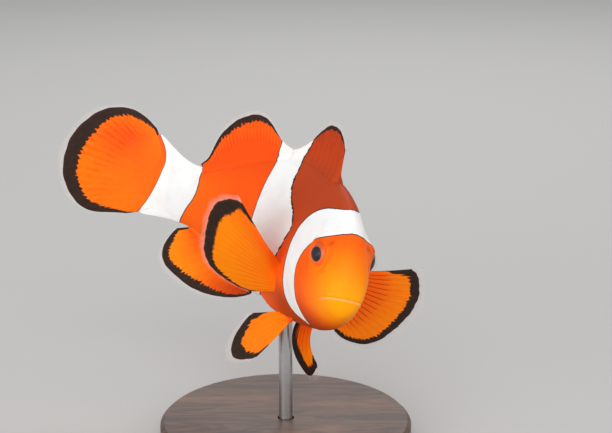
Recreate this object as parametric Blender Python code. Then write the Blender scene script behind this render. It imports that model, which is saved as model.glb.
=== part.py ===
"""Ocellaris clownfish, Amphiprion ocellaris: a still, life-size model on a small display stand.

The fish is worked out straight and level, in shares of its standard length. Its spine is then bent
sideways, and the whole fish is turned and banked over a round base that holds it up on a rod.
"""

from math import cos, pi, radians, sin

import bmesh
import bpy
import numpy as np
from mathutils import Euler, Vector

# ---------------------------------------------------------------- driving dimensions, in metres
STANDARD_LENGTH = 0.062         # snout to the root of the tail fin
GAP = 0.0003                    # clearance between neighbouring solids
FIN_ROOT_THICKNESS = 0.0012
FIN_RIM_THICKNESS = 0.0005

# The fish's turn and bank in degrees, and where its snout is over the base
FISH_YAW = -86.5
FISH_PITCH = 0.3
FISH_BANK = -13.3
SNOUT_PLACE = (0.0100, -0.0260, 0.0355)

BASE_RADIUS = 0.023
BASE_THICKNESS = 0.0045
BASE_CHAMFER = 0.0007
ROD_RADIUS = 0.00125
ROD_SOCKET_DEPTH = 0.0030       # how deep the rod sits in the base
ROD_TOP = 0.0270

# ---------------------------------------------------------------- shares of the standard length
# Body outline: share behind the snout, height over the mouth, depth under it, half width
BODY = (
    (0.000, 0.000, 0.000, 0.000),
    (0.010, 0.050, 0.044, 0.039),
    (0.040, 0.105, 0.080, 0.061),
    (0.090, 0.158, 0.112, 0.073),
    (0.160, 0.200, 0.143, 0.083),
    (0.250, 0.229, 0.172, 0.091),
    (0.350, 0.244, 0.195, 0.095),
    (0.460, 0.248, 0.207, 0.092),
    (0.580, 0.227, 0.198, 0.081),
    (0.700, 0.180, 0.164, 0.064),
    (0.800, 0.131, 0.118, 0.045),
    (0.880, 0.099, 0.092, 0.030),
    (0.945, 0.106, 0.094, 0.021),
    (1.000, 0.130, 0.100, 0.012),
)
BACK_PINCH = 0.20               # how much the back draws in towards a ridge
BELLY_PINCH = 0.10

# Spine: share behind the snout, and how far the body there has turned to the right, in degrees. It is
# worked out in even steps.
SPINE = ((0.0, 0), (0.2, 12), (0.4, 25), (0.6, 42), (0.8, 53), (1.0, 59), (1.1, 68), (1.3, 86))
SPINE_REACH = 1.5               # how far behind the snout its steps go on
SPINE_STEPS = 600

HEAD_END = 0.305
TAIL_STALK_START = 0.870
BODY_RING_POINTS = 30
HEAD_RINGS = 18
TRUNK_RINGS = 16
STALK_RINGS = 5
TRIM_RINGS = 26

EYE_SHARE = 0.137               # behind the snout
EYE_SIDE = 0.060                # out from the middle
EYE_HEIGHT = 0.077
EYE_RADIUS = 0.034
EYE_LOOK = 61.0                 # degrees out from straight ahead
BROW_SHARE = 0.143              # the brow's middle, a little behind and above the eye
BROW_HEIGHT = 0.084
BROW_SWELL = 0.019              # how far the head stands out there
BROW_SPREAD = 0.042

# Lower jaw in side view: the lip line runs back from the snout to the mouth corner and then down
MOUTH_CORNER = (0.082, -0.028)
JAW_HINGE = (0.128, -0.078)
JAW_FOOT = (0.145, -0.180)
LIP_BEND = (0.045, -0.011)      # where the lip line bends on its way back
CUT_AHEAD = 0.05                # how far ahead of the snout and out to the side a cut reaches
CUT_SIDE = 0.15

# Gill cover in side view: centre, half length, half height, and the plane its inner face lies on
GILL_CENTRE = (0.236, -0.032)
GILL_HALF_LENGTH = 0.052
GILL_HALF_HEIGHT = 0.092
GILL_INNER_SIDE = 0.060
GILL_OUTLINE_POINTS = 20

# Fin on the back: share behind the snout and length of the ray that grows there
DORSAL_RAYS = (
    (0.305, 0.110), (0.350, 0.143), (0.400, 0.142), (0.450, 0.106), (0.500, 0.058), (0.560, 0.030),
    (0.600, 0.050), (0.660, 0.138), (0.720, 0.146), (0.780, 0.109), (0.840, 0.040), (0.875, 0.018),
)
DORSAL_LEAN = (10, 7, 21, 56)   # degrees back from upright, from the first ray to the last
DORSAL_NOTCH = 0.560            # where the spines end and the soft rays start

ANAL_START = 0.595
ANAL_END = 0.875
ANAL_LENGTHS = (0.020, 0.113, 0.184, 0.200, 0.060)
ANAL_LEAN = (18, 44, 67)

TAIL_TOP = 0.088
TAIL_BOTTOM = -0.081
TAIL_LENGTHS = (0.115, 0.220, 0.294, 0.346, 0.368, 0.352, 0.296, 0.226, 0.128)
TAIL_RISE = (52, 32, 3, -23, -23)       # degrees up from straight back, top ray to bottom ray

PECTORAL = {"root": (0.335, 0.083, -0.070), "base": 0.100, "length": 0.300}
PELVIC = {"root": (0.345, 0.030, -0.175), "base": 0.050, "length": 0.250}
ROOT_SINK = 0.020               # how far a fin's root starts inside the body before it is trimmed
TRIM_START = 0.12               # the body's length that trims the fins starts here

# How each paired fin is held, in degrees: swept back from straight out, lifted, its blade twisted
# about its middle ray, and its first and last ray fanned from that ray. Curl and hook are shares of
# the ray's length by which its tip bends out of the blade and within it, and rays are the rays'
# lengths, first to last, as shares of the fin's length.
PECTORAL_RIGHT = {"sweep": 51, "lift": 7, "twist": 37, "fan": (54, -34), "curl": -0.056, "hook": 0,
                  "rays": (0.88, 1.05, 1.07, 1.00, 0.54)}
PECTORAL_LEFT = {"sweep": 5, "lift": -19, "twist": -9, "fan": (23, -38), "curl": 0.025, "hook": 0.04,
                 "rays": (0.88, 1.11, 1.12, 1.01, 0.53)}
PELVIC_RIGHT = {"sweep": 68, "lift": -50, "twist": -32, "fan": (23, -18), "curl": 0.015, "hook": 0.09,
                "rays": (0.78, 1.19, 0.74)}
PELVIC_LEFT = {"sweep": 54, "lift": -71, "twist": 91, "fan": (18, 17), "curl": -0.135, "hook": -0.52,
               "rays": (0.94, 1.11, 0.85)}

# ---------------------------------------------------------------- finishes: colour, roughness, metal
FINISHES = {
    "skin_orange": ((0.85, 0.22, 0.02), 0.45, 0.0),
    "fin_orange": ((0.90, 0.28, 0.02), 0.45, 0.0),
    "skin_white": ((0.85, 0.83, 0.80), 0.45, 0.0),
    "eye_dark": ((0.02, 0.02, 0.03), 0.10, 0.0),
    "stand_wood": ((0.10, 0.05, 0.03), 0.40, 0.0),
    "stand_steel": ((0.60, 0.60, 0.60), 0.30, 1.0),
}


def hermite(knots, values, at):
    """Smooth curve through the values, with the slope at each knot taken from its neighbours."""
    knots = np.asarray(knots, float)
    values = np.asarray(values, float)
    at = np.asarray(at, float)
    slopes = np.gradient(values, knots)
    low = np.clip(np.searchsorted(knots, at) - 1, 0, len(knots) - 2)
    width = knots[low + 1] - knots[low]
    t = (at - knots[low]) / width
    return (
        (2 * t**3 - 3 * t**2 + 1) * values[low]
        + (t**3 - 2 * t**2 + t) * width * slopes[low]
        + (3 * t**2 - 2 * t**3) * values[low + 1]
        + (t**3 - t**2) * width * slopes[low + 1]
    )


def along(values, at):
    """The smooth curve through values that are evenly spread from 0 to 1."""
    return hermite(np.linspace(0, 1, len(values)), values, at)


def body_size(share, column):
    """Height (1), depth (2) or half width (3) of the body at a share of its length."""
    table = np.array(BODY)
    return hermite(np.sqrt(table[:, 0]), table[:, column], np.sqrt(np.clip(share, 0, 1)))


def skin(share, angle, swell=0.0):
    """Straight fish's skin at a share of its length and an angle round it (0 left, 90 degrees top)."""
    up = np.sin(angle) > 0
    tall = np.where(up, body_size(share, 1), body_size(share, 2)) + swell
    wide = body_size(share, 3) + swell
    pinch = np.where(up, BACK_PINCH, BELLY_PINCH)
    height = tall * np.sin(angle)
    side = wide * np.cos(angle) * (1 - pinch * np.sin(angle) ** 2)
    near_brow = ((share - BROW_SHARE) ** 2 + (height - BROW_HEIGHT) ** 2) / BROW_SPREAD**2
    side = side + BROW_SWELL * np.exp(-near_brow) * np.cos(angle)
    return np.stack([share + 0 * side, side, height], -1)


def bend(points):
    """Lays points of the straight fish (behind the snout, left, up) along its bent spine, in metres."""
    shares = np.linspace(0, SPINE_REACH, SPINE_STEPS + 1)
    knots, turns = zip(*SPINE)
    turn = np.radians(hermite(knots, turns, np.clip(shares, 0, knots[-1])))
    step = np.stack([-np.cos(turn), -np.sin(turn)], -1) * (shares[1] - shares[0])
    centre = np.vstack([[0, 0], np.cumsum((step[1:] + step[:-1]) / 2, axis=0)])
    back, side, height = np.moveaxis(np.asarray(points, float), -1, 0)
    local_turn = np.interp(back, shares, turn)
    ahead = np.minimum(back, 0)
    forward = np.interp(back, shares, centre[:, 0]) - ahead - side * np.sin(local_turn)
    left = np.interp(back, shares, centre[:, 1]) + side * np.cos(local_turn)
    return np.stack([forward, left, height], -1) * STANDARD_LENGTH


def finish(name):
    """The Principled material of this name, made once."""
    found = bpy.data.materials.get(name)
    if found:
        return found
    colour, roughness, metal = FINISHES[name]
    made = bpy.data.materials.new(name)
    made.use_nodes = True
    shader = made.node_tree.nodes["Principled BSDF"]
    shader.inputs["Base Color"].default_value = (*colour, 1)
    shader.inputs["Roughness"].default_value = roughness
    shader.inputs["Metallic"].default_value = metal
    made.diffuse_color = (*colour, 1)
    return made


def add_object(name, points, faces, material, parent=None):
    """An object from points and faces, its faces turned outward and shaded smooth."""
    mesh = bpy.data.meshes.new(name)
    mesh.from_pydata([tuple(point) for point in points], [], faces)
    shape = bmesh.new()
    shape.from_mesh(mesh)
    bmesh.ops.recalc_face_normals(shape, faces=shape.faces)
    shape.to_mesh(mesh)
    shape.free()
    mesh.shade_smooth()
    mesh.set_sharp_from_angle(angle=radians(40))
    mesh.materials.append(finish(material))
    made = bpy.data.objects.new(name, mesh)
    made.parent = parent
    bpy.context.scene.collection.objects.link(made)
    return made


def as_cutter(made):
    """Marks an object as a cutter, which is no part of the model."""
    made.hide_render = True
    made.display_type = "WIRE"
    return made


def apply_boolean(made, cutter, operation):
    """Cuts an object by a cutter, or keeps only what is inside it."""
    modifier = made.modifiers.new(cutter.name, "BOOLEAN")
    modifier.operation = operation
    modifier.object = cutter
    modifier.solver = "EXACT"


def grid_quads(rows, columns, first=0, wrap=False):
    """Quads between neighbouring points of a grid that is stored row by row."""
    last = columns if wrap else columns - 1
    quads = []
    for row in range(rows - 1):
        for column in range(last):
            a = first + row * columns + column
            b = first + row * columns + (column + 1) % columns
            quads.append((a, b, b + columns, a + columns))
    return quads


def body_length(name, start, end, rings, material, parent, swell=0.0):
    """One length of the body, closed by flat fans, or by the tip of the snout where it starts at 0."""
    shares = np.linspace(np.sqrt(start), np.sqrt(end), rings) ** 2
    angles = np.linspace(0, 2 * pi, BODY_RING_POINTS, endpoint=False)
    grid = skin(shares[:, None], angles[None, :], swell)
    if start == 0:
        grid = grid[1:]
    ends = np.array([[start, 0, 0], [end, 0, 0]])
    points = np.vstack([grid.reshape(-1, 3), ends])
    faces = grid_quads(len(grid), BODY_RING_POINTS, wrap=True)
    front, back = len(points) - 2, len(points) - 1
    last_ring = (len(grid) - 1) * BODY_RING_POINTS
    for point in range(BODY_RING_POINTS):
        after = (point + 1) % BODY_RING_POINTS
        faces.append((front, after, point))
        faces.append((back, last_ring + point, last_ring + after))
    return add_object(name, bend(points), faces, material, parent)


def side_prism(name, outline, inner, outer, parent):
    """A cutter: an outline in side view, carried across the fish from one side distance to another."""
    outline = np.array(outline)
    count = len(outline)
    layers = [np.insert(outline, 1, side, axis=1) for side in (inner, outer)]
    faces = grid_quads(2, count, wrap=True)
    faces.append(tuple(range(count)))
    faces.append(tuple(range(2 * count - 1, count - 1, -1)))
    return as_cutter(add_object(name, bend(np.vstack(layers)), faces, "skin_orange", parent))


def jaw_outline(grow):
    """The lower jaw in side view, from ahead of the snout round under the chin, grown by a share."""
    corner = (MOUTH_CORNER[0] + grow, MOUTH_CORNER[1] + grow)
    hinge = (JAW_HINGE[0] + grow, JAW_HINGE[1] + grow)
    foot = (JAW_FOOT[0] + grow, JAW_FOOT[1])
    bend_point = (LIP_BEND[0], LIP_BEND[1] + grow)
    return ((-CUT_AHEAD, grow), (0.0, grow), bend_point, corner, hinge, foot,
            (-CUT_AHEAD, JAW_FOOT[1]))


def gill_outline(grow):
    """The gill cover in side view: an oval drawn out a little at its lower rear."""
    outline = []
    for step in range(GILL_OUTLINE_POINTS):
        angle = 2 * pi * step / GILL_OUTLINE_POINTS
        back = GILL_CENTRE[0] + (GILL_HALF_LENGTH + grow) * cos(angle)
        up = GILL_CENTRE[1] + (GILL_HALF_HEIGHT + grow) * sin(angle)
        outline.append((back, up))
    return outline


def eye_centre(side):
    """Centre of an eyeball in the fish's own frame."""
    return Vector(bend(np.array([EYE_SHARE, side * EYE_SIDE, EYE_HEIGHT])))


def add_eyeball(name, side, radius, parent):
    """A ball whose own Z axis looks out of the head."""
    shape = bmesh.new()
    bmesh.ops.create_uvsphere(shape, u_segments=20, v_segments=12, radius=radius)
    mesh = bpy.data.meshes.new(name)
    shape.to_mesh(mesh)
    shape.free()
    mesh.shade_smooth()
    mesh.materials.append(finish("eye_dark"))
    made = bpy.data.objects.new(name, mesh)
    made.parent = parent
    made.location = eye_centre(side)
    knots, turns = zip(*SPINE)
    head_turn = float(hermite(knots, turns, EYE_SHARE))
    made.rotation_euler = Euler((0, pi / 2, radians(head_turn + side * EYE_LOOK)))
    bpy.context.scene.collection.objects.link(made)
    return made


def add_fin(name, surface, rays, steps, material, parent):
    """A closed blade on both sides of a surface, thick at its root and thin at its rim.

    surface(u, v) gives the middle points and the direction of thickness; u runs from the first ray
    to the last and v from inside the root to the tips.
    """
    u, v = np.meshgrid(np.linspace(0, 1, rays), np.linspace(0, 1, steps), indexing="ij")
    middle, across = surface(u, v)
    thick = FIN_ROOT_THICKNESS + (FIN_RIM_THICKNESS - FIN_ROOT_THICKNESS) * v**0.6
    offset = across * (thick / 2 / STANDARD_LENGTH)[..., None]
    points = np.vstack([(middle + offset).reshape(-1, 3), (middle - offset).reshape(-1, 3)])
    count = rays * steps
    faces = grid_quads(rays, steps)
    faces += [tuple(reversed(quad)) for quad in grid_quads(rays, steps, first=count)]
    border = [row * steps for row in range(rays)]
    border += [(rays - 1) * steps + column for column in range(1, steps)]
    border += [row * steps + steps - 1 for row in range(rays - 2, -1, -1)]
    border += list(range(steps - 2, 0, -1))
    for here, after in zip(border, border[1:] + border[:1]):
        faces.append((here, after, after + count, here + count))
    return add_object(name, bend(points), faces, material, parent)


def middle_blade(back, height):
    """A blade in the fish's middle plane, with its thickness across the fish."""
    middle = np.stack([back, 0 * back, height], -1)
    return middle, np.broadcast_to([0.0, 1.0, 0.0], middle.shape)


def dorsal_blade(start, end):
    """Surface of the fin on the back between two shares of the body's length."""
    shares, lengths = zip(*DORSAL_RAYS)

    def surface(u, v):
        share = start + (end - start) * u
        lean = np.radians(along(DORSAL_LEAN, (share - shares[0]) / (shares[-1] - shares[0])))
        reach = -ROOT_SINK + (hermite(shares, lengths, share) + ROOT_SINK) * v
        return middle_blade(share + reach * np.sin(lean), body_size(share, 1) + reach * np.cos(lean))

    return surface


def anal_blade(u, v):
    """Surface of the fin under the tail end of the belly."""
    share = ANAL_START + (ANAL_END - ANAL_START) * u
    lean = np.radians(along(ANAL_LEAN, u))
    reach = -ROOT_SINK + (along(ANAL_LENGTHS, u) + ROOT_SINK) * v
    return middle_blade(share + reach * np.sin(lean), -body_size(share, 2) - reach * np.cos(lean))


def tail_blade(u, v):
    """Surface of the tail fin, fanned behind the flat end of the tail stalk."""
    rise = np.radians(along(TAIL_RISE, u))
    reach = along(TAIL_LENGTHS, u) * v
    height = TAIL_TOP + (TAIL_BOTTOM - TAIL_TOP) * u + reach * np.sin(rise)
    return middle_blade(1 + GAP / STANDARD_LENGTH + reach * np.cos(rise), height)


def paired_blade(fin, hold, side):
    """Surface of a pectoral or pelvic fin: rays fanned from a short root line on one side."""
    sweep, lift, twist = (radians(hold[key]) for key in ("sweep", "lift", "twist"))
    flat = np.array([sin(sweep), side * cos(sweep), 0])
    axis = cos(lift) * flat + np.array([0, 0, sin(lift)])
    upright = -sin(lift) * flat + np.array([0, 0, cos(lift)])
    width_way = cos(twist) * upright + sin(twist) * np.cross(axis, upright)
    blade_normal = np.cross(axis, width_way)
    root = np.array([fin["root"][0], side * fin["root"][1], fin["root"][2]])

    def surface(u, v):
        first, last = hold["fan"]
        fan = np.radians(first + (last - first) * u)[..., None]
        length = fin["length"] * along(hold["rays"], u)[..., None]
        reach = -ROOT_SINK + (length + ROOT_SINK) * v[..., None]
        bent = reach**2 / length
        middle = root + fin["base"] * (0.5 - u)[..., None] * width_way
        middle = middle + reach * (np.cos(fan) * axis + np.sin(fan) * width_way)
        middle = middle + bent * (hold["curl"] * blade_normal + hold["hook"] * width_way)
        return middle, np.broadcast_to(blade_normal, middle.shape)

    return surface


def add_turned(name, profile, segments, material):
    """A solid of revolution about world Z, from (radius, height) points that run bottom to top."""
    points = [(0, 0, profile[0][1])]
    for radius, height in profile:
        for step in range(segments):
            angle = 2 * pi * step / segments
            points.append((radius * cos(angle), radius * sin(angle), height))
    points.append((0, 0, profile[-1][1]))
    faces = grid_quads(len(profile), segments, first=1, wrap=True)
    top = 1 + (len(profile) - 1) * segments
    for step in range(segments):
        after = (step + 1) % segments
        faces.append((0, 1 + after, 1 + step))
        faces.append((len(points) - 1, top + step, top + after))
    return add_object(name, points, faces, material)


def add_head(fish, socket_cutters):
    """The head with its separate lower jaw and gill covers, and the sockets that the eyes lie in."""
    gap = GAP / STANDARD_LENGTH
    end = HEAD_END - gap / 2
    head = body_length("head", 0, end, HEAD_RINGS, "skin_orange", fish)
    jaw = body_length("lower_jaw", 0, end, HEAD_RINGS, "skin_orange", fish)
    wide = CUT_SIDE
    apply_boolean(jaw, side_prism("jaw_shape", jaw_outline(0), -wide, wide, fish), "INTERSECT")
    apply_boolean(head, side_prism("jaw_space", jaw_outline(gap), -wide, wide, fish), "DIFFERENCE")
    for side, word in ((1, "left"), (-1, "right")):
        cover = body_length(f"gill_cover_{word}", 0, end, HEAD_RINGS, "skin_orange", fish)
        inner = side * GILL_INNER_SIDE
        shape = side_prism(f"gill_shape_{word}", gill_outline(0), inner, side * wide, fish)
        apply_boolean(cover, shape, "INTERSECT")
        inner = side * (GILL_INNER_SIDE - gap)
        space = side_prism(f"gill_space_{word}", gill_outline(gap), inner, side * wide, fish)
        apply_boolean(head, space, "DIFFERENCE")
    for cutter in socket_cutters:
        apply_boolean(head, cutter, "DIFFERENCE")


def add_eyes(fish):
    """Both eyeballs; returns the cutters of their sockets."""
    cutters = []
    for side, word in ((1, "left"), (-1, "right")):
        radius = EYE_RADIUS * STANDARD_LENGTH
        add_eyeball(f"eye_{word}", side, radius, fish)
        cutters.append(as_cutter(add_eyeball(f"eye_socket_{word}", side, radius + GAP, fish)))
    return cutters


def add_trunk(fish, rod_cutter):
    """The trunk and the tail stalk behind it."""
    half_gap = GAP / STANDARD_LENGTH / 2
    trunk = body_length("trunk", HEAD_END + half_gap, TAIL_STALK_START - half_gap, TRUNK_RINGS,
                        "skin_orange", fish)
    apply_boolean(trunk, rod_cutter, "DIFFERENCE")
    body_length("tail_stalk", TAIL_STALK_START + half_gap, 1.0, STALK_RINGS,
                "skin_white", fish)


def add_fins(fish):
    """All fins, each trimmed where it meets the body."""
    gap = GAP / STANDARD_LENGTH
    trim = as_cutter(body_length("fin_trim", TRIM_START, 1.0, TRIM_RINGS, "skin_orange", fish,
                                 swell=gap))
    first, last = DORSAL_RAYS[0][0], DORSAL_RAYS[-1][0]
    spiny = dorsal_blade(first, DORSAL_NOTCH - gap)
    soft = dorsal_blade(DORSAL_NOTCH + gap, last)
    right = (PECTORAL_RIGHT, PELVIC_RIGHT, -1, "right")
    left = (PECTORAL_LEFT, PELVIC_LEFT, 1, "left")
    fins = [
        add_fin("dorsal_fin_spiny", spiny, 14, 5, "fin_orange", fish),
        add_fin("dorsal_fin_soft", soft, 17, 6, "fin_orange", fish),
        add_fin("anal_fin", anal_blade, 16, 6, "fin_orange", fish),
    ]
    for pectoral_hold, pelvic_hold, side, word in (right, left):
        pectoral = paired_blade(PECTORAL, pectoral_hold, side)
        pelvic = paired_blade(PELVIC, pelvic_hold, side)
        fins.append(add_fin(f"pectoral_fin_{word}", pectoral, 16, 6, "fin_orange", fish))
        fins.append(add_fin(f"pelvic_fin_{word}", pelvic, 9, 7, "fin_orange", fish))
    for fin in fins:
        apply_boolean(fin, trim, "DIFFERENCE")
    add_fin("caudal_fin", tail_blade, 22, 8, "fin_orange", fish)


def add_stand():
    """The round base and its rod; returns the cutter of the hole that the rod fills in the belly."""
    chamfer = BASE_CHAMFER
    base = add_turned(
        "stand_base",
        (
            (BASE_RADIUS - chamfer, 0),
            (BASE_RADIUS, chamfer),
            (BASE_RADIUS, BASE_THICKNESS - chamfer),
            (BASE_RADIUS - chamfer, BASE_THICKNESS),
        ),
        64,
        "stand_wood",
    )
    foot = BASE_THICKNESS - ROD_SOCKET_DEPTH
    add_turned("stand_rod", ((ROD_RADIUS, foot + GAP), (ROD_RADIUS, ROD_TOP - GAP)), 24, "stand_steel")
    wide = ROD_RADIUS + GAP
    base_hole = add_turned("rod_hole_base", ((wide, foot), (wide, 2 * BASE_THICKNESS)), 24, "stand_steel")
    apply_boolean(base, as_cutter(base_hole), "DIFFERENCE")
    belly_hole = add_turned("rod_hole_belly", ((wide, 2 * BASE_THICKNESS), (wide, ROD_TOP)), 24,
                            "stand_steel")
    return as_cutter(belly_hole)


def main():
    """Builds the fish and its stand."""
    for old in list(bpy.data.objects):
        bpy.data.objects.remove(old, do_unlink=True)
    fish = bpy.data.objects.new("fish", None)
    fish.location = SNOUT_PLACE
    fish.rotation_euler = Euler((radians(FISH_BANK), radians(FISH_PITCH), radians(FISH_YAW)))
    bpy.context.scene.collection.objects.link(fish)
    rod_cutter = add_stand()
    add_head(fish, add_eyes(fish))
    add_trunk(fish, rod_cutter)
    add_fins(fish)


main()
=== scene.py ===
"""Ocellaris clownfish on its display stand: one skin with its fins, a coat of scales, clear fin
edges, eyes, and the finishes of the stand.

The fish is worked out straight and level, in shares of its standard length, as (behind the snout,
left, up). Its points are then laid along the bent spine and turned into the model's frame.
"""

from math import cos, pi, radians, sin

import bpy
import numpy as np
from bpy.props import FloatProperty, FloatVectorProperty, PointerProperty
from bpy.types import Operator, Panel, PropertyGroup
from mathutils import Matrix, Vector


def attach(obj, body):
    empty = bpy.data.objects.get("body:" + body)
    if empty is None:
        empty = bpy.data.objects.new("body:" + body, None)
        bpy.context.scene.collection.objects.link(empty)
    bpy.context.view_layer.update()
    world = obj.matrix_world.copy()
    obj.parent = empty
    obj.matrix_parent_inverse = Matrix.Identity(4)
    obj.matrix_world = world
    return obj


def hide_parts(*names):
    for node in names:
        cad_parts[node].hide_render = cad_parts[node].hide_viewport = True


bl_info = {
    "name": "Clownfish display model",
    "version": (1, 0, 0),
    "blender": (4, 5, 0),
    "location": "3D View > Sidebar > Clownfish",
    "description": "Builds the skin, scales, eyes and stand finishes of a life-size clownfish model",
    "category": "Object",
}

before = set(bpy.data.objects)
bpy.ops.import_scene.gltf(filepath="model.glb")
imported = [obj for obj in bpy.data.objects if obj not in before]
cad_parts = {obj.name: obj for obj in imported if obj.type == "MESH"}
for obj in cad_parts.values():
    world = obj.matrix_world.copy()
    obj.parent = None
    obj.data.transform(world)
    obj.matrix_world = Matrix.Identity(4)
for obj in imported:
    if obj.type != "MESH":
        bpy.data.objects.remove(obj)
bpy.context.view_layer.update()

# ---------------------------------------------------------------- driving dimensions, in metres
STANDARD_LENGTH = 0.062         # snout to the root of the tail fin
MM = 0.001 / STANDARD_LENGTH    # one millimetre as a share of that length
FIN_GAP = 0.0003 / STANDARD_LENGTH      # from the tail stalk's end to the tail fin's root line

# The fish's turn and bank in degrees, and where its snout is over the base
FISH_YAW = -86.5
FISH_PITCH = 0.3
FISH_BANK = -13.3
SNOUT_PLACE = (0.0100, -0.0260, 0.0355)

# ---------------------------------------------------------------- the fish, as the solids have it
# Body outline: share behind the snout, height over the mouth, depth under it, half width
BODY = np.array((
    (0.000, 0.000, 0.000, 0.000),
    (0.010, 0.050, 0.044, 0.039),
    (0.040, 0.105, 0.080, 0.061),
    (0.090, 0.158, 0.112, 0.073),
    (0.160, 0.200, 0.143, 0.083),
    (0.250, 0.229, 0.172, 0.091),
    (0.350, 0.244, 0.195, 0.095),
    (0.460, 0.248, 0.207, 0.092),
    (0.580, 0.227, 0.198, 0.081),
    (0.700, 0.180, 0.164, 0.064),
    (0.800, 0.131, 0.118, 0.045),
    (0.880, 0.099, 0.092, 0.030),
    (0.945, 0.106, 0.094, 0.021),
    (1.000, 0.130, 0.100, 0.012),
))
BACK_PINCH = 0.20               # how much it is drawn in at the ridges of back and belly
BELLY_PINCH = 0.10
# The spine's turn to the right in degrees at shares of the length; it is summed in short steps
SPINE = ((0.0, 0), (0.2, 12), (0.4, 25), (0.6, 42), (0.8, 53), (1.0, 59), (1.1, 68), (1.3, 86))
SPINE_END = 1.5
SPINE_STEPS = 600

EYE_SHARE = 0.137               # middle of the eye: behind the snout, out to the side and up
EYE_SIDE = 0.060
EYE_HEIGHT = 0.077
EYE_LOOK = 61.0                 # degrees that it looks aside from straight ahead
BROW_SHARE = 0.143              # swelling over it: its middle, how far it stands out, and how wide
BROW_HEIGHT = 0.084
BROW_SWELL = 0.019
BROW_SPREAD = 0.042

# Fin on the back: where each ray grows and its length, the rays' lean in degrees from front to rear,
# and where the fin's notch is
DORSAL_RAYS = (
    (0.305, 0.110), (0.350, 0.143), (0.400, 0.142), (0.450, 0.106), (0.500, 0.058), (0.560, 0.030),
    (0.600, 0.050), (0.660, 0.138), (0.720, 0.146), (0.780, 0.109), (0.840, 0.040), (0.875, 0.018),
)
DORSAL_LEAN = (10, 7, 21, 56)
DORSAL_NOTCH = 0.560
# Fin under the belly, from front to rear
ANAL_START = 0.595
ANAL_END = 0.875
ANAL_LENGTHS = (0.020, 0.113, 0.184, 0.200, 0.060)
ANAL_LEAN = (18, 44, 67)
# Tail fin, from top to bottom, with the degrees by which its rays rise
TAIL_TOP = 0.088
TAIL_BOTTOM = -0.081
TAIL_LENGTHS = (0.115, 0.220, 0.294, 0.346, 0.368, 0.352, 0.296, 0.226, 0.128)
TAIL_RISE = (52, 32, 3, -23, -23)
# Paired fins: middle of the root, its length, the middle ray's length, and how far the feet are drawn
# back and down. Then how each is held: turned back, up and about its middle ray, in degrees, its rays'
# fan, their curl out of the blade and hook within it, and their lengths as shares of the middle ray's.
PECTORAL = {"root": (0.335, 0.083, -0.070), "base": 0.100, "length": 0.300, "foot": (0.045, 0.0)}
PELVIC = {"root": (0.345, 0.030, -0.175), "base": 0.050, "length": 0.250, "foot": (0.0, -0.010)}
PECTORAL_RIGHT = {"sweep": 51, "lift": 7, "twist": 37, "fan": (54, -34), "curl": -0.056, "hook": 0,
                  "rays": (0.88, 1.05, 1.07, 1.00, 0.54)}
PECTORAL_LEFT = {"sweep": 5, "lift": -19, "twist": -9, "fan": (23, -38), "curl": 0.025, "hook": 0.04,
                 "rays": (0.88, 1.11, 1.12, 1.01, 0.53)}
PELVIC_RIGHT = {"sweep": 68, "lift": -50, "twist": -32, "fan": (23, -18), "curl": 0.015, "hook": 0.09,
                "rays": (0.78, 1.19, 0.74)}
PELVIC_LEFT = {"sweep": 54, "lift": -71, "twist": 91, "fan": (18, 17), "curl": -0.135, "hook": -0.52,
               "rays": (0.94, 1.11, 0.85)}
ROOT_SINK = 0.020               # how far under the body's surface rays start
FOOT_TUCK = 0.12                # how far the feet of a paired fin's first rays are drawn in
VENT_SHARE = 0.530              # hollow of the belly at the vent: its middle, depth and half length
VENT_DIP = 0.014
VENT_REACH = 0.035

# ---------------------------------------------------------------- finer shapes of the skin
BODY_RINGS = 230                # fineness of the body's grid
BODY_COLUMNS = 200
TAIL_RUN_IN = 0.080             # how far the body's end runs on inside the tail fin
TAIL_RUN_WIDTH = 0.12           # share of its width that is left at that end
# How the ridges of back and belly spread in there: share of a straight rise, and of the power of 6
RIDGE_SPREAD = ((0.34, 0.90), (0.14, 0.25))

MOUTH_END = 0.086               # how far back the slit between the lips reaches
LIP_FRONT = 0.004               # the slit's height at the snout, and how far it falls to its corner
LIP_DROP = 0.036
LIP_BEND = 0.9
NOSTRIL = (0.104, 0.119)        # share behind the snout and height
ORBIT_RADIUS = 0.0305
ORBIT_SEAT = 0.0165             # how far out along the eye's axis the orbit's rim lies
# Bulges and dents of the skin. Lips: how far out, how far above the mouth's slit and how wide
LIPS = ((0.0007, 0.0090, 0.0070), (0.0010, -0.0070, 0.0050), (-0.0026, 0.0, 0.0020))
JAW_HOLLOW = (0.0080, -0.022, 0.055)        # how deep beside the mouth, at what height and how wide
BROW_HOLLOW = (0.0050, 0.010, 0.035)        # how deep, how far over the brow's middle and how wide
NOSTRIL_RIM = (0.0016, 0.0110)              # how far out and how wide
NOSTRIL_PIT = (0.0050, 0.0050)
# Rear edges of gill cover and cheek: rearmost share, its height, half height, how far it curves, how
# far it stands out and how deep the groove behind it is
PLATE_EDGES = ((0.302, -0.030, 0.120, 0.11, 0.0018, 0.0012), (0.208, -0.020, 0.110, 0.06, 0.0010, 0.0008))
PECTORAL_LOBE = (0.0040, 0.020, 0.030, 0.055)   # how far out, behind the root, half length and height
ORBIT_LIP = (0.0030, 0.0050, 0.0040)        # how high, how far outside the orbit and how wide
ORBIT_FLOOR = -0.010                        # how far out along the eye's axis the skin inside it lies
ORBIT_STEP = 0.0065                         # how wide the step down to it is, inside the orbit's rim
ORBIT_SLOPE = (0.034, 0.004)                # how far outside the rim the skin starts and ends its dip
ORBIT_PULL = 0.85                           # how much of the way it dips to the rim
COAT_DEPTH = 0.0011             # how far the skin lies under the scales' surface
# Where scales fade in and out: shares behind the head band's front edge, shares before the tail fin
# and millimetres from both ridges
COAT_FRONT = (0.020, 0.070)
COAT_REAR = (0.995, 0.960)
COAT_RIDGES = (0.4, 1.0)
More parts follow.
